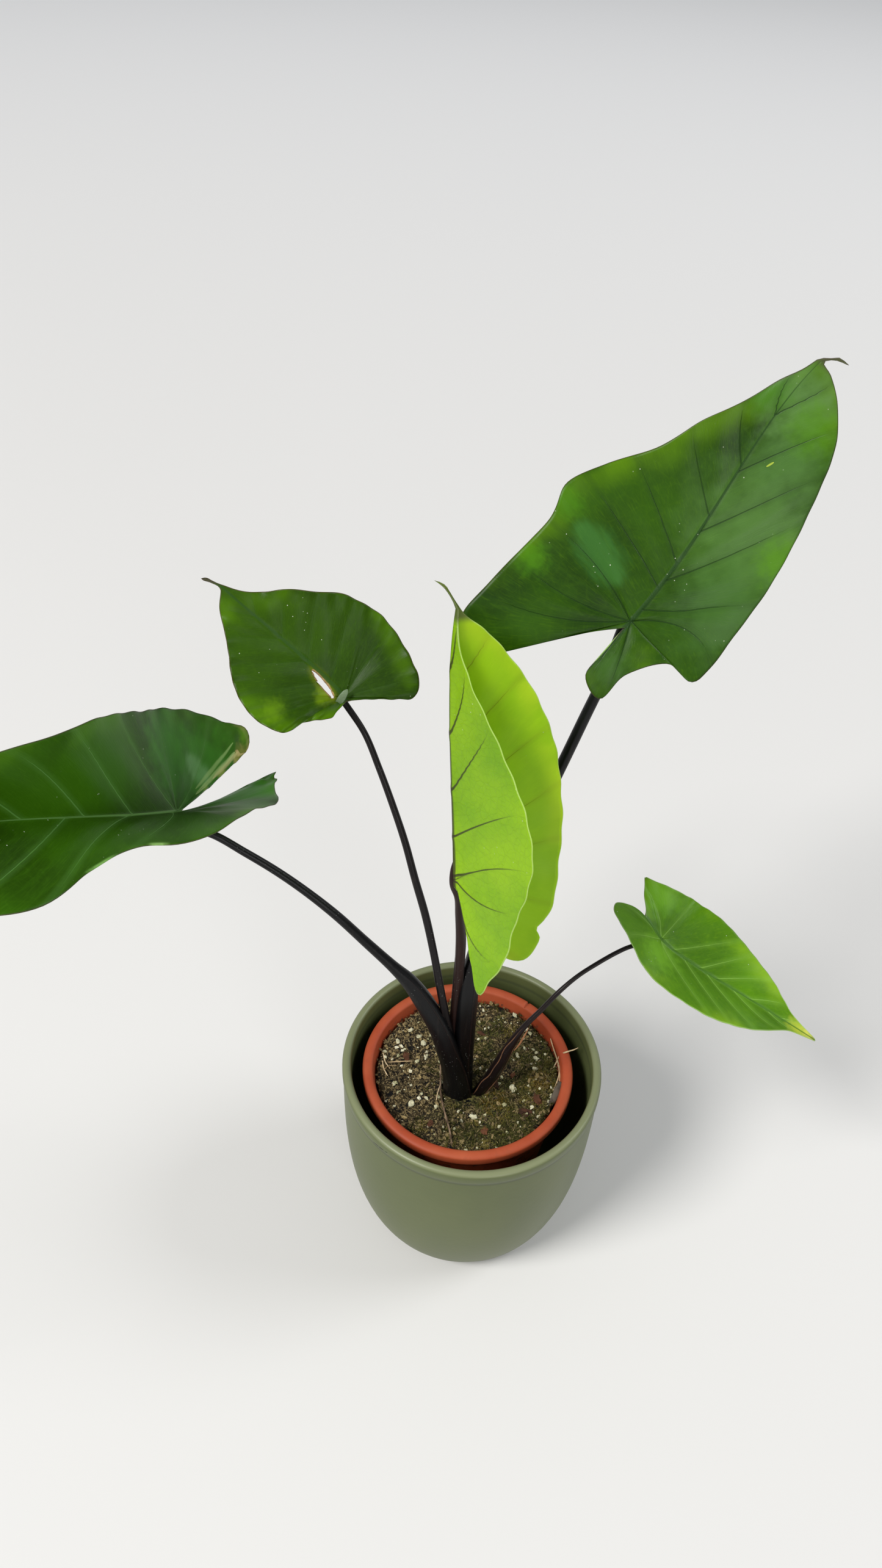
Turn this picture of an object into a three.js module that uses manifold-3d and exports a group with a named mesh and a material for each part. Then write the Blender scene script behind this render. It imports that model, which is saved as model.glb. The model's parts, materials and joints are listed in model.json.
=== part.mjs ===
// Black stem alocasia in a terracotta coloured nursery pot, standing in a sage green cover pot.
// Millimetres, +Z up. The origin is the middle of the cover pot's flat base, where it meets the
// table, +X is the viewer's right and -Y is the side that faces the viewer.
import * as THREE from 'three';
import { mergeVertices } from 'three/addons/utils/BufferGeometryUtils.js';
import Module from 'manifold-3d';

const wasm = await Module();
wasm.setup();

// Driving dimensions of the pots and the soil
const GAP = 0.35;                     // clearance between pieces that touch
const COVER_HEIGHT = 130;
const COVER_RADIUS = 72.6;            // outside, just below the lip
const COVER_FOOT_RADIUS = 50.3;       // flat base
const COVER_WALL = 4.6;
const COVER_FLOOR = 9;
const COVER_LIP_DEPTH = 9;            // height of the thickened collar at the top
const COVER_SIDES = 48;
const GROW_LIP_RADIUS = 60;           // a 12 cm nursery pot
const GROW_RIM_Z = 122;               // 8 mm below the cover pot's rim
const GROW_LIP_DEPTH = 6.5;
const GROW_INNER_RADIUS = 54;         // inside, at the top
const GROW_BASE_RADIUS = 42;
const GROW_WALL = 1.8;
const GROW_CENTRE = [-2, 2];
const GROW_SIDES = 48;
const DRAIN_HOLES = 8;
const DRAIN_HOLE_RADIUS = 3.5;
const DRAIN_CIRCLE_RADIUS = 29;
const SOIL_Z = 113;                   // middle of the soil's surface
const SOIL_RELIEF = 1.6;
const SOIL_GRAINS = 42;               // perlite grains and bark crumbs that stand out of the soil
const STEM_CENTRE = [-4.5, -9.5];     // where the plant stands in the soil
const STEM_HOLE_RADIUS = 13;
const STEM_DEPTH = 22;                // how far the stem reaches below the soil's surface

// Driving dimensions of the leaves
const BLADE_THICKNESS = 0.8;
const MIDRIB_RIDGE = 2.1;             // how far the midrib stands out of the underside
const MIDRIB_HALF_WIDTH = 2.4;
const SIDE_VEINS = 6;                 // on each half of a blade
const ROWS_PER_VEIN = 4;
const COLUMNS = 4;                    // from the midrib to the margin
const VEIN_SLANT = 0.75;              // how far a side vein runs forward for each mm outward
const VEIN_RIDGE = 0.5;
const QUILTING = 1.2;                 // how far the blade bulges between two side veins

// Outlines run from the notch behind the stalk round the back lobe to the tip, as distance along
// the midrib and distance from it. A blade's shape in space is its midrib, a cubic Bezier curve,
// the way its upper face looks at the base and at the tip, how steeply each half folds up
// (degrees), and how much it curls across (radians in 100 mm). A left half is on the left when
// the upper face is seen with the tip up. A stalk's route gives places with half its width,
// from inside the soil to just short of the blade. Up to sheathEnd it is a broad sheath that
// wraps the stem, squashed front to back by the factor flat at its foot. The stalk ends right
// under the blade, or joint gives how far behind and below the midrib's foot it ends.
const LEAVES = {
  large_right: {
    colour: 0x2f6a1c,
    midrib: [[52, 30, 407], [85, 55, 439], [96, 70, 480], [116, 67, 509]],
    faceBase: [0.1, -0.8, 0.5],
    faceTip: [-0.2, -1, 0],
    fold: [-4, 5],
    curl: [0, 0],
    lobeDrop: 8,
    waves: [4, 1.6, 0.1],
    tail: [11, -1, -1],
    left: [[-4, 0], [-15, 11], [-33, 22], [-51, 36], [-48, 54], [-28, 56], [10, 55], [31, 58.5],
      [50, 48.5], [68, 33.5], [85, 24.5], [100, 13.5], [113, 7], [121, 3], [128, 1.3]],
    right: [[-4, 0], [-17, 1], [-30, 2], [-33, 14], [-18, 14.5], [-3, 24], [-2, 37], [7, 40],
      [25, 39], [46, 38], [69, 36.5], [89, 32.5], [107, 26.5], [119.5, 17.5], [126, 8], [128, 1.3]],
    stalk: {
      route: [[-5, -9, 96, 7], [-6, -8, 142, 6], [-6, -7, 168, 5.8], [-6, -6, 193, 5.6],
        [-5, -4, 213, 4.6], [-2, -1, 232, 3.7], [8, 6, 266, 3.1], [20, 14, 304, 2.9],
        [31, 22, 335, 2.7], [38, 26, 357, 2.6], [44.5, 28.5, 379, 2.5]],
      sheathEnd: 5,
      flat: 0.85,
    },
  },
  young: {
    colour: 0x8fc31f,
    midrib: [[-16, -18, 293], [-19, -1, 338], [-26, 4, 383], [-23, -3, 430]],
    faceBase: [0.9, -0.4, 0.2],
    faceTip: [0.9, -0.3, -0.1],
    fold: [62, 62],
    curl: [0, 0],
    lobeDrop: 2,
    waves: [3, 1, 0.3],
    tail: [-9, 0, 12],
    left: [[-2, 0], [-15, 6], [-34, 13], [-52, 20.5], [-42, 27], [-26, 36.5], [-8, 42.5],
      [11, 51], [32, 55], [52, 49], [72, 37], [92, 26], [108, 13.5], [122, 4], [139, 1.3]],
    right: [[-2, 0], [-13, 6], [-29, 14], [-43, 24], [-42, 36], [-26, 39], [-14, 44.5], [6, 47],
      [29, 49.5], [54, 47], [78, 40.5], [99, 33], [116, 22.5], [127, 13], [134, 5], [139, 1.3]],
    stalk: {
      route: [[-6, -8, 104, 4], [-12, -7, 166, 2.4], [-12, -7, 183, 2.4], [-11.5, -7, 206, 2.5],
        [-11.5, -8, 227, 2.6], [-12, -10, 245, 2.6], [-13.5, -13.5, 264, 2.2],
        [-15, -17, 280, 1.8]],
      sheathEnd: 4,
      flat: 1,
      joint: [2.8, 2],
    },
  },
  upper_left: {
    colour: 0x3c7a24,
    midrib: [[-72, 30, 358], [-81, 38, 365], [-102, 37, 385], [-126, 43, 405]],
    faceBase: [0.2, -0.6, 0.8],
    faceTip: [0.2, -0.9, 0.5],
    fold: [13, 13],
    curl: [0, 0],
    lobeDrop: 4,
    waves: [3, 1.2, 0.2],
    tail: [-9, 0, 4],
    left: [[2, 0], [0, 5], [-4, 8], [-5, 12], [-1, 18], [4, 24], [5, 30], [9, 34], [16, 36],
      [27, 37], [38, 34], [47, 28], [54, 21], [61, 14.5], [69, 8], [74, 1.2]],
    right: [[2, 0], [-9, 10], [-15, 19], [-19, 26], [-15, 32], [-4, 35], [9, 38], [16, 38],
      [24, 36], [33, 33], [42, 26], [52, 19], [59, 11], [66, 5], [74, 1.2]],
    stalk: {
      route: [[-7, -9, 104, 4], [-13, -10, 160, 2.4], [-17, -10, 182, 2.2], [-21, -9, 205, 2.1],
        [-25, -7, 228, 2], [-30, -2, 249.5, 2], [-36, 3, 270, 1.9], [-41.5, 9, 288.5, 1.8],
        [-48, 15, 306.5, 1.7], [-55, 21, 324, 1.6], [-62.5, 26, 341.5, 1.5]],
      sheathEnd: 3,
      flat: 1,
    },
  },
  lower_left: {
    colour: 0x2c5f22,
    midrib: [[-146, -5, 314], [-160, -52, 350], [-190, -89, 389], [-236, -128, 404]],
    faceBase: [0.5, 0.5, 0.8],
    faceTip: [0.7, -0.7, 0.3],
    fold: [34.7, 44],
    curl: [0, 0],
    lobeDrop: -8,
    waves: [4, 1.6, 0.4],
    tail: [-8, 0, -8],
    left: [[-4, 0], [-25, 1], [-50, 3], [-68, 9], [-55, 20.5], [-32, 36], [-7, 39], [19, 40],
      [45, 40], [67, 29], [93, 34], [115, 42], [138, 37], [157, 25], [170, 12], [181, 1.3]],
    right: [[-4, 0], [-29, 5], [-55, 13], [-74, 16.5], [-63, 31], [-39, 45], [-12, 48], [15, 46],
      [41, 45], [70, 41], [97, 35], [121, 32], [142, 27], [158, 18], [170, 9], [181, 1.3]],
    stalk: {
      route: [[-5, -10, 96, 8.4], [-7, -10, 113, 8.2], [-10, -11, 136, 7.2], [-15, -12, 156, 6.2],
        [-20, -12, 173, 5.6], [-29, -11, 194, 5.2], [-37, -10, 208, 4.2], [-45, -9.5, 218, 3.1],
        [-59, -8, 234, 2.6], [-74, -7, 252, 2.4], [-89, -5, 266, 2.2], [-103, -4, 278, 2.1],
        [-117.5, -3, 288.5, 2], [-131, -2, 297.5, 1.9]],
      sheathEnd: 7,
      flat: 0.85,
    },
  },
  small_right: {
    colour: 0x4d8a2c,
    midrib: [[95, 20, 217], [102, 14, 210], [137, 0, 201], [175, -17, 187]],
    faceBase: [0.5, -0.3, 0.8],
    faceTip: [0.2, -0.2, 0.9],
    fold: [12.6, 12.8],
    curl: [0, 0],
    lobeDrop: 5,
    waves: [3, 0.9, 0.6],
    tail: [1.5, -0.5, -1],
    left: [[-14, 0], [-17, 3], [-24, 8], [-29.5, 14], [-24, 19], [-13, 26], [-3, 32], [8, 33],
      [21, 32], [36, 28], [50, 23], [63, 17], [72, 10], [80, 5], [94, 1]],
    right: [[-14, 0], [-19, 1], [-25, 5], [-31, 14], [-28, 22], [-16, 25], [-3, 27], [9, 29],
      [22, 30], [37, 29], [51, 24], [63, 18], [73, 11], [81, 5], [94, 1]],
    stalk: {
      route: [[0, -10, 98, 3.4], [4, -10, 112, 3.4], [10, -10, 127, 3.7], [15, -9.5, 143, 3.4],
        [20, -8.5, 159, 2.4], [26, -7, 172, 1.6], [34, -3.5, 182, 1.4], [43, 1, 193, 1.3],
        [52, 6, 200, 1.2], [62, 11, 205, 1.2], [72, 15, 210, 1.2], [79, 17, 213, 1.2]],
      sheathEnd: 5,
      flat: 0.8,
    },
  },
};

// An old dry stalk that lies over the soil in front of the stem: places on the soil and radius
const DRY_ROOT = {
  places: [[-17.5, -16], [-14, -26], [-10, -37], [-9, -47]],
  radius: 0.8,
  rise: 0.9,
};

const vector = (p) => new THREE.Vector3(...p);

// Small seeded generator, so that every build gives the same grains
function randomSource(seed) {
  let state = seed;
  return () => {
    state = (state * 1664525 + 1013904223) % 4294967296;
    return state / 4294967296;
  };
}

// Merged vertices, no folded triangles, faces pointing out
function closedGeometry(geometry) {
  const bare = geometry.clone();
  bare.deleteAttribute('normal');
  bare.deleteAttribute('uv');
  const merged = mergeVertices(bare, 1e-4);
  const position = merged.getAttribute('position');
  const corner = (i) => new THREE.Vector3().fromBufferAttribute(position, i);
  const index = merged.getIndex().array;
  const kept = [];
  let volume = 0;
  for (let i = 0; i < index.length; i += 3) {
    const [a, b, c] = [index[i], index[i + 1], index[i + 2]];
    if (a === b || b === c || c === a) continue;
    kept.push(a, b, c);
    volume += corner(a).dot(corner(b).cross(corner(c)));
  }
  if (volume < 0) kept.reverse();
  merged.setIndex(kept);
  return merged;
}

function solidOf(geometry) {
  const closed = closedGeometry(geometry);
  const vertProperties = new Float32Array(closed.getAttribute('position').array);
  const triVerts = new Uint32Array(closed.getIndex().array);
  return new wasm.Manifold(new wasm.Mesh({ numProp: 3, vertProperties, triVerts }));
}

function geometryOf(solid) {
  const mesh = solid.getMesh();
  const geometry = new THREE.BufferGeometry();
  geometry.setAttribute('position', new THREE.BufferAttribute(mesh.vertProperties, 3));
  geometry.setIndex(new THREE.BufferAttribute(mesh.triVerts, 1));
  return geometry;
}

// A profile of [radius, height] pairs turned round the vertical axis
function turned(profile, sides) {
  const points = profile.map(([r, z]) => new THREE.Vector2(r, z));
  return new THREE.LatheGeometry(points, sides).rotateX(Math.PI / 2);
}

// A closed tube along part of a smooth curve. span gives where it starts and ends, radiusAt and
// flatAt give half its width and how far it is squashed front to back, all by curve parameter
function tube(curve, span, radiusAt, sides, steps, flatAt = () => 1) {
  const positions = [];
  const triangles = [];
  const ring = (i, j) => i * sides + (j % sides);
  for (let i = 0; i <= steps; i += 1) {
    const t = THREE.MathUtils.lerp(...span, i / steps);
    const centre = curve.getPoint(t);
    const along = curve.getTangent(t);
    const across = new THREE.Vector3(1, 0, 0);
    across.addScaledVector(along, -across.dot(along)).normalize();
    const front = along.clone().cross(across);
    for (let j = 0; j < sides; j += 1) {
      const angle = (2 * Math.PI * j) / sides;
      const point = centre.clone().addScaledVector(across, radiusAt(t) * Math.cos(angle));
      point.addScaledVector(front, radiusAt(t) * flatAt(t) * Math.sin(angle));
      positions.push(point.x, point.y, point.z);
      if (i < steps) {
        triangles.push(ring(i, j), ring(i, j + 1), ring(i + 1, j));
        triangles.push(ring(i, j + 1), ring(i + 1, j + 1), ring(i + 1, j));
      }
    }
  }
  for (const i of [0, steps]) {
    const centre = curve.getPoint(THREE.MathUtils.lerp(...span, i / steps));
    const middle = positions.length / 3;
    positions.push(centre.x, centre.y, centre.z);
    for (let j = 0; j < sides; j += 1) {
      const [a, b] = i === 0 ? [j + 1, j] : [j, j + 1];
      triangles.push(middle, ring(i, a), ring(i, b));
    }
  }
  const geometry = new THREE.BufferGeometry();
  geometry.setAttribute('position', new THREE.Float32BufferAttribute(positions, 3));
  geometry.setIndex(triangles);
  return geometry;
}

// Outside radius of the cover pot: a rounded foot that runs up into an almost straight wall
function coverRadius(z) {
  const rise = 1 - (1 - z / COVER_HEIGHT) ** 3.26;
  return COVER_FOOT_RADIUS + (COVER_RADIUS - COVER_FOOT_RADIUS) * rise ** 0.7;
}

function coverPot() {
  const collar = COVER_HEIGHT - COVER_LIP_DEPTH;
  const outside = [0, 2, 5, 10, 18, 30, 48, 72, 98, collar].map((z) => [coverRadius(z), z]);
  const lip = [[COVER_RADIUS + 0.6, collar + 1.5], [COVER_RADIUS + 0.6, COVER_HEIGHT - 3],
    [COVER_RADIUS - 0.6, COVER_HEIGHT - 0.6], [COVER_RADIUS - 2.2, COVER_HEIGHT],
    [COVER_RADIUS - 3.8, COVER_HEIGHT - 0.8], [COVER_RADIUS - COVER_WALL, COVER_HEIGHT - 3]];
  const inside = [98, 60, 32, 18, COVER_FLOOR + 3].map((z) => [coverRadius(z) - COVER_WALL, z]);
  const floor = [[coverRadius(COVER_FLOOR) - COVER_WALL - 4, COVER_FLOOR], [0, COVER_FLOOR]];
  return turned([[0, 0], ...outside, ...lip, ...inside, ...floor], COVER_SIDES);
}

// Inside radius of the grow pot at a height
function growInnerRadius(z) {
  const base = COVER_FLOOR + GAP + GROW_WALL;
  const up = (z - base) / (GROW_RIM_Z - base);
  return THREE.MathUtils.lerp(GROW_BASE_RADIUS - GROW_WALL, GROW_INNER_RADIUS, up);
}

function growPot() {
  const base = COVER_FLOOR + GAP;
  const lipBottom = GROW_RIM_Z - GROW_LIP_DEPTH;
  const wallTop = growInnerRadius(lipBottom) + GROW_WALL;
  const profile = [[0, base], [GROW_BASE_RADIUS - 1.5, base], [GROW_BASE_RADIUS, base + 1.5],
    [wallTop, lipBottom], [GROW_LIP_RADIUS - 0.5, lipBottom],
    [GROW_LIP_RADIUS, lipBottom + 1], [GROW_LIP_RADIUS, GROW_RIM_Z - 1.6],
    [GROW_LIP_RADIUS - 1.2, GROW_RIM_Z - 0.2], [GROW_LIP_RADIUS - 3, GROW_RIM_Z],
    [GROW_INNER_RADIUS + 0.8, GROW_RIM_Z - 0.3], [GROW_INNER_RADIUS, GROW_RIM_Z - 1.4],
    [growInnerRadius(base + GROW_WALL), base + GROW_WALL], [0, base + GROW_WALL]];
  let pot = solidOf(turned(profile, GROW_SIDES));
  for (let i = 0; i < DRAIN_HOLES; i += 1) {
    const angle = (2 * Math.PI * i) / DRAIN_HOLES;
    const hole = new THREE.CylinderGeometry(DRAIN_HOLE_RADIUS, DRAIN_HOLE_RADIUS, 10, 10);
    hole.rotateX(Math.PI / 2);
    hole.translate(DRAIN_CIRCLE_RADIUS * Math.cos(angle), DRAIN_CIRCLE_RADIUS * Math.sin(angle),
      base);
    pot = pot.subtract(solidOf(hole));
  }
  return geometryOf(pot).translate(...GROW_CENTRE, 0);
}

// Height of the soil's surface: a low mound round the stem with gentle lumps
function soilHeight(x, y) {
  const away = Math.hypot(x - STEM_CENTRE[0], y - STEM_CENTRE[1]);
  const mound = 1.5 * Math.exp(-((away / 24) ** 2));
  const lumps = Math.sin(x * 0.21 + 1) * Math.cos(y * 0.17 - 0.5) + 0.6 * Math.sin(x * 0.43 - y * 0.38);
  return SOIL_Z + mound + SOIL_RELIEF * 0.5 * lumps;
}

function soil() {
  const rings = 9;
  const sides = 40;
  const bottom = COVER_FLOOR + 2 * GAP + GROW_WALL;
  const edge = growInnerRadius(SOIL_Z - 4) - GAP - 0.2;
  const positions = [];
  const triangles = [];
  const onRing = (i, j) => 1 + (i - 1) * sides + (j % sides);
  positions.push(...GROW_CENTRE, soilHeight(...GROW_CENTRE));
  for (let i = 1; i <= rings + 1; i += 1) {
    const low = i > rings;
    const radius = low ? growInnerRadius(bottom) - GAP - 0.2 : (edge * i) / rings;
    for (let j = 0; j < sides; j += 1) {
      const angle = (2 * Math.PI * j) / sides;
      const x = GROW_CENTRE[0] + radius * Math.cos(angle);
      const y = GROW_CENTRE[1] + radius * Math.sin(angle);
      positions.push(x, y, low ? bottom : soilHeight(x, y) - (i === rings ? 1.5 : 0));
      if (i === 1) {
        triangles.push(0, onRing(1, j), onRing(1, j + 1));
      } else {
        triangles.push(onRing(i - 1, j), onRing(i, j), onRing(i, j + 1));
        triangles.push(onRing(i - 1, j), onRing(i, j + 1), onRing(i - 1, j + 1));
      }
    }
  }
  const middle = positions.length / 3;
  positions.push(...GROW_CENTRE, bottom);
  for (let j = 0; j < sides; j += 1) {
    triangles.push(middle, onRing(rings + 1, j + 1), onRing(rings + 1, j));
  }
  const body = new THREE.BufferGeometry();
  body.setAttribute('position', new THREE.Float32BufferAttribute(positions, 3));
  body.setIndex(triangles);
  let solid = solidOf(body);

  const random = randomSource(7);
  const grains = [];
  while (grains.length < SOIL_GRAINS) {
    const radius = (GROW_INNER_RADIUS - 5) * Math.sqrt(random());
    const angle = 2 * Math.PI * random();
    const size = 0.9 + 1.1 * random();
    const turn = 6 * random();
    const x = GROW_CENTRE[0] + radius * Math.cos(angle);
    const y = GROW_CENTRE[1] + radius * Math.sin(angle);
    const fromStem = Math.hypot(x - STEM_CENTRE[0], y - STEM_CENTRE[1]);
    const clear = fromStem > STEM_HOLE_RADIUS + 3 && !nearDryRoot(x, y);
    if (clear && grains.every((g) => Math.hypot(g.x - x, g.y - y) > 4.5)) {
      grains.push({ x, y, size, turn });
    }
  }
  for (const { x, y, size, turn } of grains) {
    const grain = new THREE.IcosahedronGeometry(size, 0).rotateX(turn).rotateZ(turn);
    solid = solid.add(solidOf(grain.translate(x, y, soilHeight(x, y) + size * 0.25)));
  }
  const hole = new THREE.CylinderGeometry(STEM_HOLE_RADIUS, STEM_HOLE_RADIUS, 60, 28);
  hole.rotateX(Math.PI / 2).translate(...STEM_CENTRE, SOIL_Z - STEM_DEPTH - GAP + 30);
  return geometryOf(solid.subtract(solidOf(hole)));
}

function nearDryRoot(x, y) {
  const curve = new THREE.SplineCurve(DRY_ROOT.places.map((p) => new THREE.Vector2(...p)));
  return curve.getPoints(20).some((p) => Math.hypot(p.x - x, p.y - y) < 4);
}

function dryRoot() {
  const route = DRY_ROOT.places.map(([x, y]) => {
    return new THREE.Vector3(x, y, soilHeight(x, y) + DRY_ROOT.radius + DRY_ROOT.rise);
  });
  const taper = (t) => DRY_ROOT.radius * (1 - 0.3 * t);
  return tube(new THREE.CatmullRomCurve3(route), [0, 1], taper, 6, 10);
}

// The short stem below the soil's surface, with every sheath that grows from it
function stemBase() {
  const stub = new THREE.CylinderGeometry(STEM_HOLE_RADIUS - GAP, STEM_HOLE_RADIUS - 3,
    STEM_DEPTH, 28);
  stub.rotateX(Math.PI / 2).translate(...STEM_CENTRE, SOIL_Z - STEM_DEPTH / 2);
  let solid = solidOf(stub);
  for (const leaf of Object.values(LEAVES)) {
    const { curve, sheathEnd, radiusAt, flatAt } = stalkShape(leaf);
    solid = solid.add(solidOf(tube(curve, [0, sheathEnd], radiusAt, 10, 9, flatAt)));
  }
  return geometryOf(solid);
}

// A leaf blade as a surface over flat leaf coordinates: x along the midrib, y across it
class BladeSurface {
  constructor(leaf) {
    this.leaf = leaf;
    this.curve = new THREE.CubicBezierCurve3(...leaf.midrib.map(vector));
    this.length = this.curve.getLength();
  }

  // Midrib point, direction, face normal and the direction to the left at x
  frame(x) {
    const u = THREE.MathUtils.clamp(x / this.length, 0, 1);
    const t = this.curve.getUtoTmapping(u);
    const along = this.curve.getTangent(t);
    const normal = vector(this.leaf.faceBase).normalize().multiplyScalar(1 - t);
    normal.addScaledVector(vector(this.leaf.faceTip).normalize(), t);
    normal.addScaledVector(along, -normal.dot(along)).normalize();
    const left = normal.clone().cross(along);
    const centre = this.curve.getPoint(t);
    if (x < 0) {
      centre.addScaledVector(along, x);
      centre.addScaledVector(normal, -this.leaf.lobeDrop * (x / 50) ** 2);
    }
    if (x > this.length) {
      const tail = vector(this.leaf.tail);
      const s = (x - this.length) / tail.length();
      centre.addScaledVector(along, tail.length() * 0.6 * s * (1 - s)).addScaledVector(tail, s);
    }
    return { centre, along, normal, left };
  }

  point(x, y, lift = 0) {
    const { centre, normal, left } = this.frame(x);
    const side = y >= 0 ? 0 : 1;
    const fold = THREE.MathUtils.degToRad(this.leaf.fold[side]);
    const curl = this.leaf.curl[side] / 100 || 1e-6;
    const away = Math.abs(y);
    const out = (Math.sin(fold + curl * away) - Math.sin(fold)) / curl;
    const up = (Math.cos(fold) - Math.cos(fold + curl * away)) / curl;
    centre.addScaledVector(left, Math.sign(y) * out);
    return centre.addScaledVector(normal, up + lift);
  }
}

// Evenly spaced points along one half's outline, from the notch to the end of the drip tip
function margin(leaf, surface, outline) {
  const end = surface.length + vector(leaf.tail).length();
  const stretch = surface.length / outline[outline.length - 1][0];
  const points = outline.map(([x, y]) => new THREE.Vector2(x > 0 ? x * stretch : x, y));
  points.push(new THREE.Vector2((surface.length + end) / 2, 1), new THREE.Vector2(end, 0));
  return new THREE.SplineCurve(points).getSpacedPoints(SIDE_VEINS * ROWS_PER_VEIN);
}

// One half's rows of flat coordinates, from the notch to the tip, each from midrib to margin
function bladeRows(leaf, surface, edge, feet, side) {
  const [waveCount, waveHeight, wavePhase] = leaf.waves;
  return edge.map((end, i) => {
    const t = i / (edge.length - 1);
    const rowLength = Math.hypot(end.x - feet[i], end.y);
    const rib = Math.min(0.18, MIDRIB_HALF_WIDTH / Math.max(rowLength, 1e-6));
    const onVein = i % ROWS_PER_VEIN === ROWS_PER_VEIN / 2;
    const fade = Math.min(1, end.y / 12);
    return Array.from({ length: COLUMNS + 1 }, (_, j) => {
      const r = j === 0 ? 0 : rib + ((1 - rib) * (j - 1)) / (COLUMNS - 1);
      const across = Math.sin(Math.PI * Math.min(1, r * 1.1));
      const between = 0.5 + 0.5 * Math.cos(2 * Math.PI * SIDE_VEINS * t);
      const wave = Math.sin(2 * Math.PI * (waveCount * t + wavePhase)) * r ** 3;
      const x = THREE.MathUtils.lerp(feet[i], end.x, r);
      const y = side * end.y * r;
      const along = THREE.MathUtils.clamp(1 - Math.abs(x) / surface.length, 0, 1);
      const ridge = j === 0 ? MIDRIB_RIDGE * along : 0;
      const vein = onVein && j < COLUMNS ? VEIN_RIDGE * fade * (1 - r) : 0;
      const lift = fade * (QUILTING * across * between + waveHeight * wave);
      return { x, y, lift, depth: BLADE_THICKNESS + Math.max(ridge, vein) };
    });
  });
}

// A blade of even thickness with its midrib and side veins raised on the underside
function blade(leaf) {
  const surface = new BladeSurface(leaf);
  const places = [];
  const known = new Map();
  const triangles = [];
  const keep = (place) => {
    const key = [place.x, place.y].map((v) => Math.round(v * 100)).join(' ');
    if (!known.has(key)) {
      known.set(key, places.length);
      places.push(place);
    }
    return known.get(key);
  };
  const edges = { 1: margin(leaf, surface, leaf.left), [-1]: margin(leaf, surface, leaf.right) };
  const feet = edges[1].map((left, i) => {
    const right = edges[-1][i];
    return Math.max(0, (left.x + right.x) / 2 - VEIN_SLANT * (left.y + right.y) / 2);
  });
  for (const side of [1, -1]) {
    const rows = bladeRows(leaf, surface, edges[side], feet, side).map((row) => row.map(keep));
    for (let i = 1; i < rows.length; i += 1) {
      for (let j = 1; j <= COLUMNS; j += 1) {
        const [a, b] = [rows[i - 1][j - 1], rows[i - 1][j]];
        const [c, d] = [rows[i][j - 1], rows[i][j]];
        const pair = [[a, b, d], [a, d, c]];
        for (const [p, q, r] of pair) {
          if (p === q || q === r || r === p) continue;
          triangles.push(side > 0 ? [p, r, q] : [p, q, r]);
        }
      }
    }
  }

  const top = places.map(({ x, y, lift }) => surface.point(x, y, lift));
  const normals = top.map(() => new THREE.Vector3());
  for (const [a, b, c] of triangles) {
    const face = top[b].clone().sub(top[a]).cross(top[c].clone().sub(top[a]));
    for (const i of [a, b, c]) normals[i].add(face);
  }
  const under = top.map((p, i) => {
    return p.clone().addScaledVector(normals[i].normalize(), -places[i].depth);
  });
  const count = top.length;
  const index = triangles.flatMap(([a, b, c]) => [a, b, c, a + count, c + count, b + count]);
  const sides = new Set(triangles.flatMap(([a, b, c]) => [`${a} ${b}`, `${b} ${c}`, `${c} ${a}`]));
  for (const side of sides) {
    const [a, b] = side.split(' ').map(Number);
    if (!sides.has(`${b} ${a}`)) index.push(a, a + count, b + count, a, b + count, b);
  }
  const geometry = new THREE.BufferGeometry();
  const positions = [...top, ...under].flatMap((p) => [p.x, p.y, p.z]);
  geometry.setAttribute('position', new THREE.Float32BufferAttribute(positions, 3));
  geometry.setIndex(index);
  return geometry;
}

// A whole stalk from inside the soil to just below its blade, with its width and flatness
function stalkShape(leaf) {
  const { route, sheathEnd, flat, joint } = leaf.stalk;
  const points = route.map(([x, y, z]) => new THREE.Vector3(x, y, z));
  const widths = route.map((place) => place[3]);
  const tipWidth = widths[widths.length - 1];
  const { centre, along, normal } = new BladeSurface(leaf).frame(0);
  const arrival = centre.clone().sub(points[points.length - 1]).normalize();
  const slope = Math.sqrt(1 - arrival.dot(normal) ** 2);
  const clear = BLADE_THICKNESS + MIDRIB_RIDGE + GAP + tipWidth * slope;
  const [behind, below] = joint ?? [0, clear];
  points.push(centre.addScaledVector(along, -behind).addScaledVector(normal, -below));
  widths.push(tipWidth);
  const last = points.length - 1;
  const radiusAt = (t) => {
    const k = Math.min(Math.floor(t * last), last - 1);
    return THREE.MathUtils.lerp(widths[k], widths[k + 1], t * last - k);
  };
  const flatAt = (t) => THREE.MathUtils.lerp(flat, 1, Math.min(1, (t * last) / sheathEnd));
  const curve = new THREE.CatmullRomCurve3(points);
  return { curve, sheathEnd: sheathEnd / last, radiusAt, flatAt };
}

// The stalk above its sheath
function stalk(leaf) {
  const { curve, sheathEnd, radiusAt, flatAt } = stalkShape(leaf);
  const step = 0.001;
  const speed = curve.getPoint(sheathEnd + step).distanceTo(curve.getPoint(sheathEnd)) / step;
  const steps = 2 * (leaf.stalk.route.length - leaf.stalk.sheathEnd);
  return tube(curve, [sheathEnd + GAP / speed, 1], radiusAt, 8, steps, flatAt);
}

const object = new THREE.Group();

function addPiece(name, geometry, color, roughness) {
  const material = new THREE.MeshStandardMaterial({ color, roughness, metalness: 0 });
  const mesh = new THREE.Mesh(closedGeometry(geometry), material);
  mesh.name = name;
  object.add(mesh);
}

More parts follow.
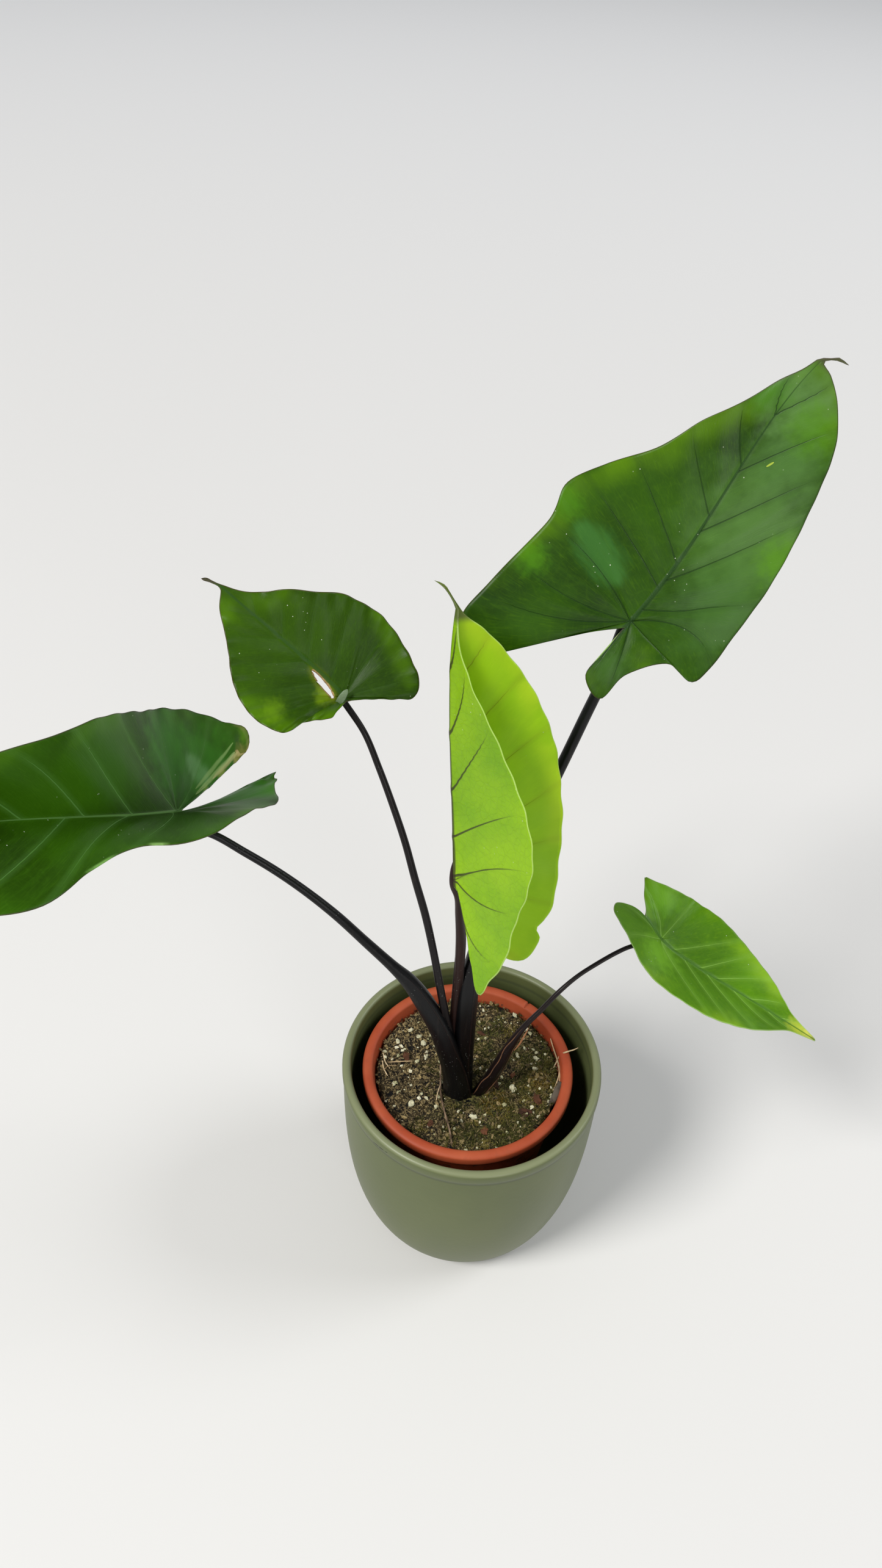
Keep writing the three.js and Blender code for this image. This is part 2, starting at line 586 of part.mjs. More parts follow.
addPiece('cover_pot', coverPot(), 0x7d8a6a, 0.35);
addPiece('grow_pot', growPot(), 0xb5532f, 0.55);
addPiece('soil', soil(), 0x33281c, 0.95);
addPiece('dry_root', dryRoot(), 0x7a6248, 0.9);
addPiece('stem_base', stemBase(), 0x17151a, 0.35);
for (const [name, leaf] of Object.entries(LEAVES)) {
  addPiece(`petiole_${name}`, stalk(leaf), 0x17151a, 0.35);
  addPiece(`leaf_${name}`, blade(leaf), leaf.colour, 0.45);
}

export default object;
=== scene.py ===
import json
import math
import random

import bpy
import numpy as np
from mathutils import Matrix, Vector, noise

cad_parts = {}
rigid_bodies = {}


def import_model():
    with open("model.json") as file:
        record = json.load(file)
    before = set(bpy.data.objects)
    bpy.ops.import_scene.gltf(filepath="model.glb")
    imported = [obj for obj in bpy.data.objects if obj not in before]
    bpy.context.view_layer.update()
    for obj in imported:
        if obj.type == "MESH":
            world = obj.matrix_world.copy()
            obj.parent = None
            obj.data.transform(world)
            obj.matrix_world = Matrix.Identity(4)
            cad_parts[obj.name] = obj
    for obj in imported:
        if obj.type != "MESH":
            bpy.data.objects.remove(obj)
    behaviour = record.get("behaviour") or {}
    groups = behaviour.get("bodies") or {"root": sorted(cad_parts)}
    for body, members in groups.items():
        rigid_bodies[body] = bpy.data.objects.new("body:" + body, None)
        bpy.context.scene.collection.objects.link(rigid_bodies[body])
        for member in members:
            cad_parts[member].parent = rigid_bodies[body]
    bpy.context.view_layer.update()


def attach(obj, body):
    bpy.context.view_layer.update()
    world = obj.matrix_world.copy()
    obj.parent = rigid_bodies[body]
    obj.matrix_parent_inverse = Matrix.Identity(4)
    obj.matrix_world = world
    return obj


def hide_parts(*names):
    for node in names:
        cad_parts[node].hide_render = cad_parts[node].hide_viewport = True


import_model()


# Cover pot
# A slip-cast stoneware cup with a thick rounded lip and a flat foot, fired with a satin sage
# green glaze. The glaze runs thin over the lip's edge, whose top is painted lighter as a painted
# highlight, and pools in the step below the collar, which is painted darker as painted shade.
MM = 0.001
POT_HEIGHT = 130
POT_RADIUS = 72.6
POT_FOOT_RADIUS = 50.3
POT_WALL = 4.6
POT_FLOOR = 9
POT_COLLAR = 9
POT_LIP_ROUND = 2.5
POT_SIDES = 144
SAGE = "505835"
# Glaze pooled in the step under the lip, darkened further as painted shade.
SAGE_POOLED_AND_SHADE = "3d432d"
# Glaze run thin over the lip's top, made lighter as a painted highlight.
SAGE_THIN_AND_HIGHLIGHT = "7c8162"
SCRATCH = [(-52.5, -51, 123), (-43.7, -59, 125)]


class Shade:
    """A socket of a material, so that sums on what varies over a surface read as plain maths."""

    def __init__(self, tree, socket=None):
        self.tree, self.socket = tree, socket

    @classmethod
    def start(cls, name):
        """The start of a new material whose node tree is still empty."""
        finish = bpy.data.materials.new(name)
        finish.use_nodes = True
        finish.node_tree.nodes.clear()
        shade = cls(finish.node_tree)
        shade.finish = finish
        return shade

    def end(self, surface):
        """The finished material, with the surface shader sent to its output."""
        self.node("OutputMaterial", {"Surface": surface})
        return self.finish

    def node(self, kind, sockets=None, out=0, **settings):
        """A new node's output: its settings are made first, then its sockets are filled."""
        made = self.tree.nodes.new("ShaderNode" + kind)
        for key, value in settings.items():
            setattr(made, key, value)
        for key, value in (sockets or {}).items():
            if isinstance(value, Shade):
                self.tree.links.new(value.socket, made.inputs[key])
            else:
                made.inputs[key].default_value = tone(value) if isinstance(value, str) else value
        return Shade(self.tree, made.outputs[out] if made.outputs else None)

    def sum(self, operation, *terms):
        return self.node("Math", dict(enumerate(terms)), operation=operation)

    def __add__(self, other):
        return self.sum("ADD", self, other)

    def __radd__(self, other):
        return self.sum("ADD", other, self)

    def __sub__(self, other):
        return self.sum("SUBTRACT", self, other)

    def __rsub__(self, other):
        return self.sum("SUBTRACT", other, self)

    def __mul__(self, other):
        return self.sum("MULTIPLY", self, other)

    def __rmul__(self, other):
        return self.sum("MULTIPLY", other, self)

    def __abs__(self):
        return self.sum("ABSOLUTE", self)

    def rise(self, low, high):
        """0 below low, 1 above high and smooth between, or falling where high is below low."""
        if high < low:
            return 1 - self.rise(high, low)
        return self.node("MapRange", {0: self, 1: low, 2: high}, interpolation_type="SMOOTHSTEP")

    def grain(self, scale, detail=3.0, stretch=None):
        """Soft noise over the piece, with scale lumps to the metre, stretched along an axis."""
        place = self.node("TexCoord", out=3)
        if stretch:
            place = self.node("Mapping", {0: place, 3: stretch})
        return self.node("TexNoise", {0: place, 2: scale, 3: detail})

    def spots(self, scale, size):
        """Scattered round dots, scale of them to the metre, as a mask."""
        far = self.node("TexVoronoi", {0: self.node("TexCoord", out=3), 2: scale})
        return far.rise(size, size * 0.5)

    def layers(self, colour, *coats):
        """A colour with others laid over it one after another, each where its mask is 1."""
        for mask, over in coats:
            colour = self.node("Mix", {0: mask, 6: colour, 7: over}, 2, data_type="RGBA")
        return colour

    def field(self, name):
        """A number that the mesh carries at each of its points."""
        return self.node("Attribute", out=2, attribute_name=name)

    def place(self, axis):
        """The piece's own coordinate in metres along axis 0, 1 or 2."""
        return self.node("SeparateXYZ", {0: self.node("TexCoord", out=3)}, axis)

    def away(self, point):
        """How many millimetres a point of the surface is from a point given in millimetres."""
        spots = {0: self.node("TexCoord", out=3), 1: [c * MM for c in point]}
        return self.node("VectorMath", spots, 1, operation="DISTANCE") * (1 / MM)

    def bump(self, height, depth):
        """A normal from a height that runs from 0 to 1, depth millimetres tall."""
        return self.node("Bump", {"Strength": 1.0, "Distance": depth * MM, "Height": height})

    def shell(self, colour, rough, gloss, skin=None):
        """The shader of a solid surface, whose normal is skin where one is given."""
        sockets = {"Base Color": colour, "Roughness": rough, "Specular IOR Level": gloss}
        if skin:
            sockets["Normal"] = skin
        return self.node("BsdfPrincipled", sockets)


def tone(code):
    """A colour given as six hex digits, as the linear colour that a socket takes."""
    parts = [int(code[i:i + 2], 16) / 255 for i in (0, 2, 4)]
    linear = [c / 12.92 if c <= 0.04045 else ((c + 0.055) / 1.055) ** 2.4 for c in parts]
    return (*linear, 1.0)


def ring_mesh(rings):
    """Points and faces of a closed body built from rings of points, each end closed by a fan."""
    sides = len(rings[0])
    points = np.concatenate([*rings, [np.mean(rings[0], axis=0)], [np.mean(rings[-1], axis=0)]])
    first, last = len(rings) * sides, len(rings) * sides + 1
    faces = []
    for i in range(len(rings) - 1):
        a, b = i * sides, (i + 1) * sides
        faces += [(a + j, a + (j + 1) % sides, b + (j + 1) % sides, b + j) for j in range(sides)]
    top = (len(rings) - 1) * sides
    for j in range(sides):
        k = (j + 1) % sides
        faces += [(first, k, j), (last, top + j, top + k)]
    return points, faces


def around(count):
    """Angles spaced evenly round a circle."""
    return np.linspace(0, 2 * math.pi, count, endpoint=False)


def circle(turns, radius, z, middle=(0, 0)):
    """A level ring of points, one at each of the turns."""
    return np.column_stack([middle[0] + radius * np.cos(turns),
                            middle[1] + radius * np.sin(turns), np.full(len(turns), z)])


def turned(profile, turns):
    """A closed body turned about the upright axis from a profile of (radius, height) pairs."""
    return ring_mesh([circle(turns, radius, height) for radius, height in profile])


def rounded(middle, half, drop, top, steps):
    """The profile of a rounded rim, from its outside over its top to its inside."""
    return [(middle + half * math.cos(a), top - drop + drop * math.sin(a))
            for a in np.linspace(0, math.pi, steps)]


def new_mesh(name, points, faces):
    """A mesh from points in millimetres."""
    mesh = bpy.data.meshes.new(name)
    mesh.from_pydata([tuple(p) for p in np.asarray(points, float) * MM], [], faces)
    return mesh


def add_object(name, data):
    made = bpy.data.objects.new(name, data)
    bpy.context.scene.collection.objects.link(made)
    return made


def add_piece(name, points, faces, finishes, slot, nodes=(), fields=None, kinds=None,
              smooth=True):
    """Makes a piece from millimetres that rides on the body and stands for CAD nodes."""
    mesh = new_mesh(name, points, faces)
    for finish in finishes:
        mesh.materials.append(finish)
    if kinds is not None:
        mesh.polygons.foreach_set("material_index", kinds)
    for field, values in (fields or {}).items():
        kept = mesh.attributes.new(field, "FLOAT", "POINT")
        kept.data.foreach_set("value", np.asarray(values, np.float32))
    mesh.polygons.foreach_set("use_smooth", [smooth] * len(mesh.polygons))
    mesh.update()
    piece = add_object(name, mesh)
    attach(piece, "root")
    if nodes:
        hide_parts(*nodes)
    return piece


def cover_radius(z):
    """Outside radius of the cover pot at a height, a rounded foot below an upright wall."""
    rise = 1 - (1 - np.asarray(z, float) / POT_HEIGHT) ** 3.26
    return POT_FOOT_RADIUS + (POT_RADIUS - POT_FOOT_RADIUS) * rise ** 0.7


def cover_profile():
    """From the middle of the foot up the outside, over the lip and down the inside."""
    collar = POT_HEIGHT - POT_COLLAR
    heights = np.concatenate([[0.6, 1.4, 2.6], np.linspace(4.5, collar - 0.4, 30)])
    outside = [(0.01, 0.6), (POT_FOOT_RADIUS - 4.5, 0.6), (POT_FOOT_RADIUS - 3.6, 0),
               (POT_FOOT_RADIUS - 0.7, 0), *zip(cover_radius(heights), heights)]
    step = [(POT_RADIUS, collar + 0.6), (POT_RADIUS + 0.3, collar + 1.7),
            (POT_RADIUS + 0.6, collar + 3.4)]
    lip = rounded(POT_RADIUS - 1.9, POT_LIP_ROUND, POT_LIP_ROUND, POT_HEIGHT, 13)
    inner_heights = np.linspace(POT_HEIGHT - 8, POT_FLOOR + 5, 22)
    inside = list(zip(cover_radius(inner_heights) - POT_WALL, inner_heights))
    corner = float(cover_radius(POT_FLOOR)) - POT_WALL
    floor = [(corner - 1.5, POT_FLOOR + 1.6), (corner - 5, POT_FLOOR), (0.01, POT_FLOOR)]
    return [*outside, *step, *lip, *inside, *floor]


def glaze_finish():
    s = Shade.start("sage_glaze")
    height, cloud = s.place(2), s.grain(22, 4)
    speck = s.spots(900, 0.16) * s.grain(160, 2).rise(0.56, 0.7)
    # The step under the lip: pooled glaze and painted shade, darker there.
    pooled_and_shade = height.rise(0.1195, 0.1212) * height.rise(0.1235, 0.1218)
    # The lip's top: thin glaze and a painted highlight, lighter there.
    thin = height.rise(0.1278, 0.1296)
    line = s.away(SCRATCH[0]) + s.away(SCRATCH[1]) - math.dist(*SCRATCH)
    scuff = line.rise(0.1, 0.02) * s.grain(300, 3).rise(0.35, 0.5)
    colour = s.layers(SAGE, (cloud.rise(0.3, 0.75), "575e3a"), (pooled_and_shade * 0.6, SAGE_POOLED_AND_SHADE),
                      (thin * 0.7, SAGE_THIN_AND_HIGHLIGHT), (speck * 0.35, "4c5338"), (scuff, "2c2f25"))
    skin = s.bump(s.grain(300, 3) * 0.6 + s.grain(70, 2) * 0.4, 0.08)
    return s.end(s.shell(colour, 0.34 + cloud * 0.1 + scuff * 0.3, 0.28, skin))


add_piece("glazed_cover_pot", *turned(cover_profile(), around(POT_SIDES)), [glaze_finish()],
          "sage_glaze", ["cover_pot"])


# Nursery pot
# A 12 cm pot of thin terracotta coloured plastic, moulded with a rolled rim and one seam notch.
# It stands loose on the cover pot's floor, a little off its middle, and has eight drain holes.
GROW_CENTRE = (-2, 2)
GROW_RIM_Z = 122
GROW_LIP_RADIUS = 60
GROW_LIP_DEPTH = 6.5
GROW_INNER_RADIUS = 54
GROW_BASE_RADIUS = 42
GROW_BASE_Z = 9.35
GROW_WALL = 1.8
GROW_RIM_ROUND = 1.7
DRAIN_HOLES = 8
DRAIN_HOLE_RADIUS = 3.5
DRAIN_CIRCLE_RADIUS = 29
SEAM_ANGLE = math.radians(53)
SEAM_DEPTH = 1.3
TERRACOTTA = "9a3e20"


def grow_inner_radius(z):
    """Inside radius of the nursery pot at a height."""
    floor = GROW_BASE_Z + GROW_WALL
    up = (z - floor) / (GROW_RIM_Z - floor)
    narrow = GROW_BASE_RADIUS - GROW_WALL
    return narrow + (GROW_INNER_RADIUS - narrow) * up


def nursery_pot():
    """The pot turned in one piece, with a notch cut through its rim at the mould's seam."""
    base, lip = GROW_BASE_Z, GROW_RIM_Z - GROW_LIP_DEPTH
    middle = (GROW_LIP_RADIUS + GROW_INNER_RADIUS) / 2
    half = (GROW_LIP_RADIUS - GROW_INNER_RADIUS) / 2
    crown = rounded(middle, half, GROW_RIM_ROUND, GROW_RIM_Z, 11)
    profile = [(0.01, base), (GROW_BASE_RADIUS - 1.5, base), (GROW_BASE_RADIUS, base + 1.5),
               *[(grow_inner_radius(z) + GROW_WALL, z) for z in np.linspace(base + 4, lip, 12)],
               (GROW_LIP_RADIUS - 1.2, lip), (GROW_LIP_RADIUS - 0.3, lip + 0.3),
               (GROW_LIP_RADIUS, lip + 1.2), (GROW_LIP_RADIUS, lip + 3), *crown,
               *[(grow_inner_radius(z), z) for z in np.linspace(lip + 2, base + 4, 14)],
               (GROW_BASE_RADIUS - GROW_WALL - 1.5, base + GROW_WALL), (0.01, base + GROW_WALL)]
    notch = [math.radians(d) for d in (-0.9, -0.35, 0, 0.35, 0.9)]
    angles = np.sort([*around(POT_SIDES), *[SEAM_ANGLE + d for d in notch]])
    points, faces = turned(profile, angles)
    turn = np.arctan2(points[:, 1], points[:, 0])
    away = np.hypot(points[:, 0], points[:, 1])
    on_rim = (away > GROW_INNER_RADIUS + 0.6) & (points[:, 2] > lip + 1)
    cut = np.clip(1 - np.abs(turn - SEAM_ANGLE) / math.radians(0.7), 0, 1) * on_rim
    points[:, 2] -= SEAM_DEPTH * cut
    points[:, 0] -= 0.5 * cut * np.cos(turn)
    points[:, 1] -= 0.5 * cut * np.sin(turn)
    points[:, :2] += GROW_CENTRE
    return points, faces


def plastic_finish():
    s = Shade.start("terracotta_plastic")
    cloud, streak = s.grain(35, 4), s.grain(90, 3, (1, 1, 0.15))
    low = s.place(2).rise(0.1185, 0.1145)
    dirt = s.grain(260, 5).rise(0.56, 0.7) * (0.1 + 0.9 * low)
    colour = s.layers(TERRACOTTA, (cloud.rise(0.3, 0.75), "a9502f"),
                      (streak.rise(0.6, 0.9) * 0.35, "98452a"), (dirt, "4a3526"))
    skin = s.bump(s.grain(900, 2) * 0.5 + s.grain(120, 2) * 0.5, 0.06)
    return s.end(s.shell(colour, 0.5 + 0.25 * cloud, 0.35, skin))


pot = add_piece("nursery_pot", *nursery_pot(), [plastic_finish()], "terracotta_plastic",
                ["grow_pot"])
for turn in around(DRAIN_HOLES):
    middle = GROW_CENTRE + DRAIN_CIRCLE_RADIUS * np.array([math.cos(turn), math.sin(turn)])
    bore = [circle(around(20), DRAIN_HOLE_RADIUS, z, middle)
            for z in (GROW_BASE_Z - 3, GROW_BASE_Z + 5)]
    hole = pot.modifiers.new("drain_hole", "BOOLEAN")
    hole.operation, hole.solver = "DIFFERENCE", "EXACT"
    hole.object = add_object("bore", new_mesh("bore", *ring_mesh(bore)))
drilled = bpy.data.meshes.new_from_object(
    pot.evaluated_get(bpy.context.evaluated_depsgraph_get()))
pot.modifiers.clear()
pot.data = drilled
for cutter in [o for o in bpy.data.objects if o.name.startswith("bore")]:
    bpy.data.objects.remove(cutter)


# Potting soil
# Moist dark peat with short plant fibres, packed round the roots. Cream perlite grains, bark
# chips and crumbs of peat lie in it, and olive moss has grown over it, most on the right.
SOIL_Z = 113
SOIL_RELIEF = 1.6
SOIL_RINGS = 64
SOIL_SIDES = 150
SOIL_GAP = 0.55
STEM_CENTRE = (-4.5, -9.5)
PERLITE_GRAINS = 330
PEAT_CRUMBS = 1500
MOSS_TUFTS = 2400
FIBRES = 900
BARK_CHIPS = [(38, -13, 3.6), (13.5, -4, 3.2), (30, -22, 4), (24, 2, 2), (-38, 12, 3.4),
              (-22, -33, 2), (6, 31, 2.2), (33, 22, 2), (8, -36, 2.6)]
PERLITE_LUMPS = [(2, -27, 1.9), (24, -6, 1.7), (26, 44, 1.6), (37, 7, 1.5), (38, 15, 1.6),
                 (-28, 22, 2.1), (-31, 26, 1.5), (-36, 30, 1.6), (-43, 21, 1.5), (-33, -20, 2.3)]
PEAT = "19120a"
SOIL_REACH = 52


def soil_height(x, y):
    """Height of the soil: a low mound round the stem, lumps, crumbs and a bank by the wall."""
    away = math.hypot(x - STEM_CENTRE[0], y - STEM_CENTRE[1])
    mound = 1.5 * math.exp(-((away / 24) ** 2))
    lumps = math.sin(x * 0.21 + 1) * math.cos(y * 0.17 - 0.5) + 0.6 * math.sin(x * 0.43 - y * 0.38)
    crumbs = sum(noise.noise(Vector((x, y, 3.7)) * f) * h
                 for f, h in ((0.35, 1.2), (0.9, 0.8), (2.1, 0.35)))
    banked = 2.2 * min(1, math.hypot(x - GROW_CENTRE[0], y - GROW_CENTRE[1]) / 52) ** 8
    return SOIL_Z + mound + banked + SOIL_RELIEF * 0.5 * lumps + crumbs


def soil_bed():
    """The root ball: rings over its open top, and one ring round its foot."""
    edge = grow_inner_radius(SOIL_Z - 4) - SOIL_GAP
    low = GROW_BASE_Z + GROW_WALL + 0.35
    rings = []
    for i in range(1, SOIL_RINGS + 1):
        ring = circle(around(SOIL_SIDES), edge * i / SOIL_RINGS, 0.0, GROW_CENTRE)
        ring[:, 2] = [soil_height(x, y) for x, y, _ in ring]
        rings.append(ring)
    rings[-1][:, 2] -= 1.5
    foot = circle(around(SOIL_SIDES), grow_inner_radius(low) - SOIL_GAP, low, GROW_CENTRE)
    return ring_mesh([foot, *rings[::-1]])


def soil_finish():
    s = Shade.start("potting_soil")
    fine, coarse = s.grain(900, 4), s.grain(160, 4)
    green = s.grain(45, 3).rise(0.42, 0.56) * s.place(0).rise(-0.045, 0.015)
    colour = s.layers(PEAT, (coarse.rise(0.35, 0.7), "3d321a"),
                      (fine.rise(0.5, 0.62) * 0.85, "94815a"),
                      (s.grain(300, 4).rise(0.47, 0.38), "0a0805"),
                      (green * fine.rise(0.35, 0.6) * 0.8, "4a4c1a"))
    skin = s.bump(fine * 0.6 + coarse * 0.4, 1.6)
    return s.end(s.shell(colour, 0.95 - 0.2 * fine, 0.25, skin))


class Heap:
    """Many small bodies gathered into one mesh, each with its own tint from 0 to 1."""

    def __init__(self):
        self.points, self.faces, self.tints, self.count = [], [], [], 0

    def add(self, points, faces, tint=0.0):
        self.points.append(np.asarray(points, float))
        self.faces += [tuple(i + self.count for i in face) for face in faces]
        self.tints.append(np.broadcast_to(tint, len(points)))
        self.count += len(points)

    def piece(self, name, finish, slot, nodes=(), smooth=True):
        return add_piece(name, np.concatenate(self.points), self.faces, [finish], slot, nodes,
                         {"tint": np.concatenate(self.tints)}, smooth=smooth)


def pebble_form():
    """Points and faces of a ball with 80 flat sides, the start of a grain or crumb."""
    golden = (1 + 5 ** 0.5) / 2
    corners = [(-1, golden, 0), (1, golden, 0), (-1, -golden, 0), (1, -golden, 0),
               (0, -1, golden), (0, 1, golden), (0, -1, -golden), (0, 1, -golden),
               (golden, 0, -1), (golden, 0, 1), (-golden, 0, -1), (-golden, 0, 1)]
    fans = [(0, 11, 5), (0, 5, 1), (0, 1, 7), (0, 7, 10), (0, 10, 11), (1, 5, 9), (5, 11, 4),
            (11, 10, 2), (10, 7, 6), (7, 1, 8), (3, 9, 4), (3, 4, 2), (3, 2, 6), (3, 6, 8),
            (3, 8, 9), (4, 9, 5), (2, 4, 11), (6, 2, 10), (8, 6, 7), (9, 8, 1)]
    points, halfway, faces = [np.array(c) / np.linalg.norm(c) for c in corners], {}, []

    def between(a, b):
        key = (min(a, b), max(a, b))
        if key not in halfway:
            middle = points[a] + points[b]
            halfway[key] = len(points)
            points.append(middle / np.linalg.norm(middle))
        return halfway[key]

    for a, b, c in fans:
        ab, bc, ca = between(a, b), between(b, c), between(c, a)
        faces += [(a, ab, ca), (b, bc, ab), (c, ca, bc), (ab, bc, ca)]
    return np.array(points), faces


PEBBLE = pebble_form()
draw = random.Random(11)


def lump(centre, size, rough):
    """An uneven grain of three half sizes, turned at random."""
    points, faces = PEBBLE
    seed = Vector((draw.uniform(0, 99), draw.uniform(0, 99), draw.uniform(0, 99)))
    swell = np.array([1 + rough * noise.noise(Vector(p) * 1.6 + seed) * 2 for p in points])
    turn = np.array((Matrix.Rotation(draw.uniform(0, 6.3), 3, "Z")
                     @ Matrix.Rotation(draw.uniform(-0.5, 0.5), 3, "X")))
    return (points * swell[:, None] * np.array(size)) @ turn.T + np.array(centre), faces


def soil_spot(reach):
    """A random place on the open soil, clear of the stem."""
    while True:
        away, turn = reach * math.sqrt(draw.random()), draw.uniform(0, 2 * math.pi)
        x = GROW_CENTRE[0] + away * math.cos(turn)
        y = GROW_CENTRE[1] + away * math.sin(turn)
        if math.hypot(x - STEM_CENTRE[0], y - STEM_CENTRE[1]) > 12:
            return x, y


def crumb_finish(name, dark, pale, scale, rough=0.9):
    """Small dry bits, from dark to pale by each one's tint, with scale lumps to the metre."""
    s = Shade.start(name)
    cloud = s.grain(scale, 3)
    colour = s.layers(dark, (s.field("tint") * 0.8 + cloud.rise(0.4, 0.65) * 0.25, pale))
    skin = s.bump(s.grain(scale * 4, 3), 0.35)
    return s.end(s.shell(colour, rough - 0.15 * cloud, 0.3, skin))


def scatter(heap, count, reach, size, widths, heights, lift, rough, fade):
    """Lays count grains on the soil. size holds the smallest, the spread and its power, and lift
    is the share of a grain's size by which its middle stands above the soil."""
    for _ in range(count):
        x, y = soil_spot(reach)
        half = size[0] + size[1] * draw.random() ** size[2]
        form = (half, half * draw.uniform(*widths), half * draw.uniform(*heights))
        z = soil_height(x, y) + half * lift
        heap.add(*lump((x, y, z), form, rough), draw.random() ** fade)


add_piece("soil_bed", *soil_bed(), [soil_finish()], "potting_soil", ["soil"])
crumbs, perlite, chips, moss = Heap(), Heap(), Heap(), Heap()
scatter(crumbs, PEAT_CRUMBS, SOIL_REACH + 0.5, (0.3, 1.2, 2.5), (0.4, 0.8), (0.3, 0.7), 0.2, 0.5, 1.6)
crumbs.piece("peat_crumbs", crumb_finish("peat_crumb", "150e07", "a08c60", 500), "potting_soil",
             smooth=False)

scatter(perlite, PERLITE_GRAINS, SOIL_REACH - 1, (0.25, 1.15, 3), (0.6, 0.9), (0.5, 0.8), 0.35, 0.4, 1)
for x, y, size in PERLITE_LUMPS:
    form = (size, size * 0.75, size * 0.7)
    perlite.add(*lump((x, y, soil_height(x, y) + size * 0.4), form, 0.4), 0.6)
perlite.piece("perlite_grains", crumb_finish("perlite", "9a9868", "e6e0c4", 700, 0.8),
              "potting_soil", smooth=False)

for x, y, size in BARK_CHIPS:
    form = (size, size * 0.62, size * 0.35)
    chips.add(*lump((x, y, soil_height(x, y) + 0.6), form, 0.5), draw.random())
chips.piece("bark_chips", crumb_finish("bark_chip", "2c1a10", "6a4026", 300), "potting_soil",
            smooth=False)


def moss_tuft(x, y):
    """A few short curved leaflets that spread from one place."""
    foot, shade = np.array([x, y, soil_height(x, y) - 0.2]), draw.random()
    up = np.array([0, 0, 1.0])
    for _ in range(draw.randint(4, 6)):
        turn, lean = draw.uniform(0, 2 * math.pi), draw.uniform(0.3, 1.3)
        reach = draw.uniform(0.9, 2.8)
        out = np.array([math.cos(turn), math.sin(turn), 0.0])
        side = np.array([-out[1], out[0], 0.0]) * draw.uniform(0.06, 0.15)
        knee = foot + (out * math.sin(lean * 0.6) + up * math.cos(lean * 0.6)) * reach * 0.55
        tip = knee + (out * math.sin(lean) + up * math.cos(lean)) * reach * 0.5
        thick = np.cross(side, out) * 0.5
        points = [foot - side, foot + side, foot + thick, knee - side * 0.9, knee + side * 0.9,
                  knee + thick, tip]
        moss.add(points, [(0, 1, 4, 3), (1, 2, 5, 4), (2, 0, 3, 5), (3, 4, 6), (4, 5, 6),
                          (5, 3, 6), (0, 2, 1)], 0.75 * shade + 0.25 * draw.random())


def moss_finish():
    s = Shade.start("moss")
    patch, tint = s.grain(60, 3), s.field("tint")
    golden = s.away((13.5, -16, 114)).rise(13, 5) + s.away((41, -1, 114)).rise(12, 4)
    colour = s.layers("141c05", (tint * 0.8, "75742f"), (patch.rise(0.5, 0.62) * tint, "a8964a"),
                      (golden * 0.55, "8a6c1e"))
    return s.end(s.shell(colour, 0.75 + 0.1 * patch, 0.25))


planted = 0
while planted < MOSS_TUFTS:
    x, y = soil_spot(SOIL_REACH)
    patch = noise.noise(Vector((x, y, 0)) * 0.07) + 0.5 * noise.noise(Vector((x, y, 9)) * 0.25)
    if patch + 0.012 * x - 0.008 * y > draw.uniform(-0.15, 0.35):
        moss_tuft(x, y)
        planted += 1
moss.piece("moss", moss_finish(), "potting_soil")


# Dry stalk and roots
# Old leaf stalks and roots that have dried to tan threads. One long stalk lies over the soil in
# front of the stem, and pale roots have climbed the pot's wall on the right and over its rim.
# Every place on a line is (x, y, z, half width) in millimetres.
DRY_STALK = [(-17.6, 3, 119.5, 0.4), (-17.3, -4, 117.5, 0.5), (-16.6, -15, 115.8, 0.55),
             (-14, -26, 115.2, 0.55), (-11, -37, 115.2, 0.5), (-9.3, -47, 114.8, 0.4)]
ROOTS = [
    [(48, 9, 113.5, 0.35), (50, 12, 116.5, 0.45), (51.5, 13.6, 120, 0.45),
     (55, 13.8, 123, 0.42), (58.5, 14.8, 123.6, 0.36), (61.5, 16, 124.4, 0.22)],
    [(46, 24, 121, 0.25), (47.5, 19, 119.5, 0.35), (49.5, 12.8, 118, 0.4),
     (51, 5.3, 116.6, 0.45), (49.6, -1.2, 115.6, 0.4), (46.6, -8.2, 114.6, 0.3)],
    [(50, 9, 117.5, 0.3), (51, 3, 116.5, 0.35), (50.5, -3, 115.5, 0.3), (48.5, -9, 114.5, 0.22)],
    [(52, 13, 117, 0.2), (51.5, 9, 118.5, 0.25), (52.2, 4, 117.6, 0.2)],
    [(-48, 6, 114.8, 0.3), (-41, 6.6, 115.3, 0.4), (-34, 7.7, 114.8, 0.3)],
    [(-17.2, -8, 116, 0.3), (-18.6, -14, 115, 0.35), (-19.2, -20, 114.2, 0.25)],
    [(-51, 4, 119, 0.25), (-50, 1, 116, 0.35), (-47.5, -3, 114.5, 0.3)],
    [(-51, 9, 119.5, 0.2), (-49.5, 5, 117, 0.3), (-46.5, 2, 114.5, 0.25)],
    [(-50, -1, 117, 0.2), (-47, 3, 115.8, 0.25), (-43, 4, 114.8, 0.2)],
]
BARK_STRIP = [(51.3, -4.5, 119, 1.6), (49, -9.5, 117.8, 1.9), (46.8, -14, 116.2, 1.8),
              (44.5, -18, 114.8, 1.2)]


def run_along(line):
    """The distance run along a line at each of its points."""
    return np.r_[0, np.cumsum(np.linalg.norm(np.diff(line[:, :3], axis=0), axis=1))]


def evenly(line, steps):
    """Samples of a line at equal distances, with any width that goes with its points."""
    run = run_along(line)
    even = np.linspace(0, run[-1], steps + 1)
    return np.column_stack([np.interp(even, run, column) for column in line.T])


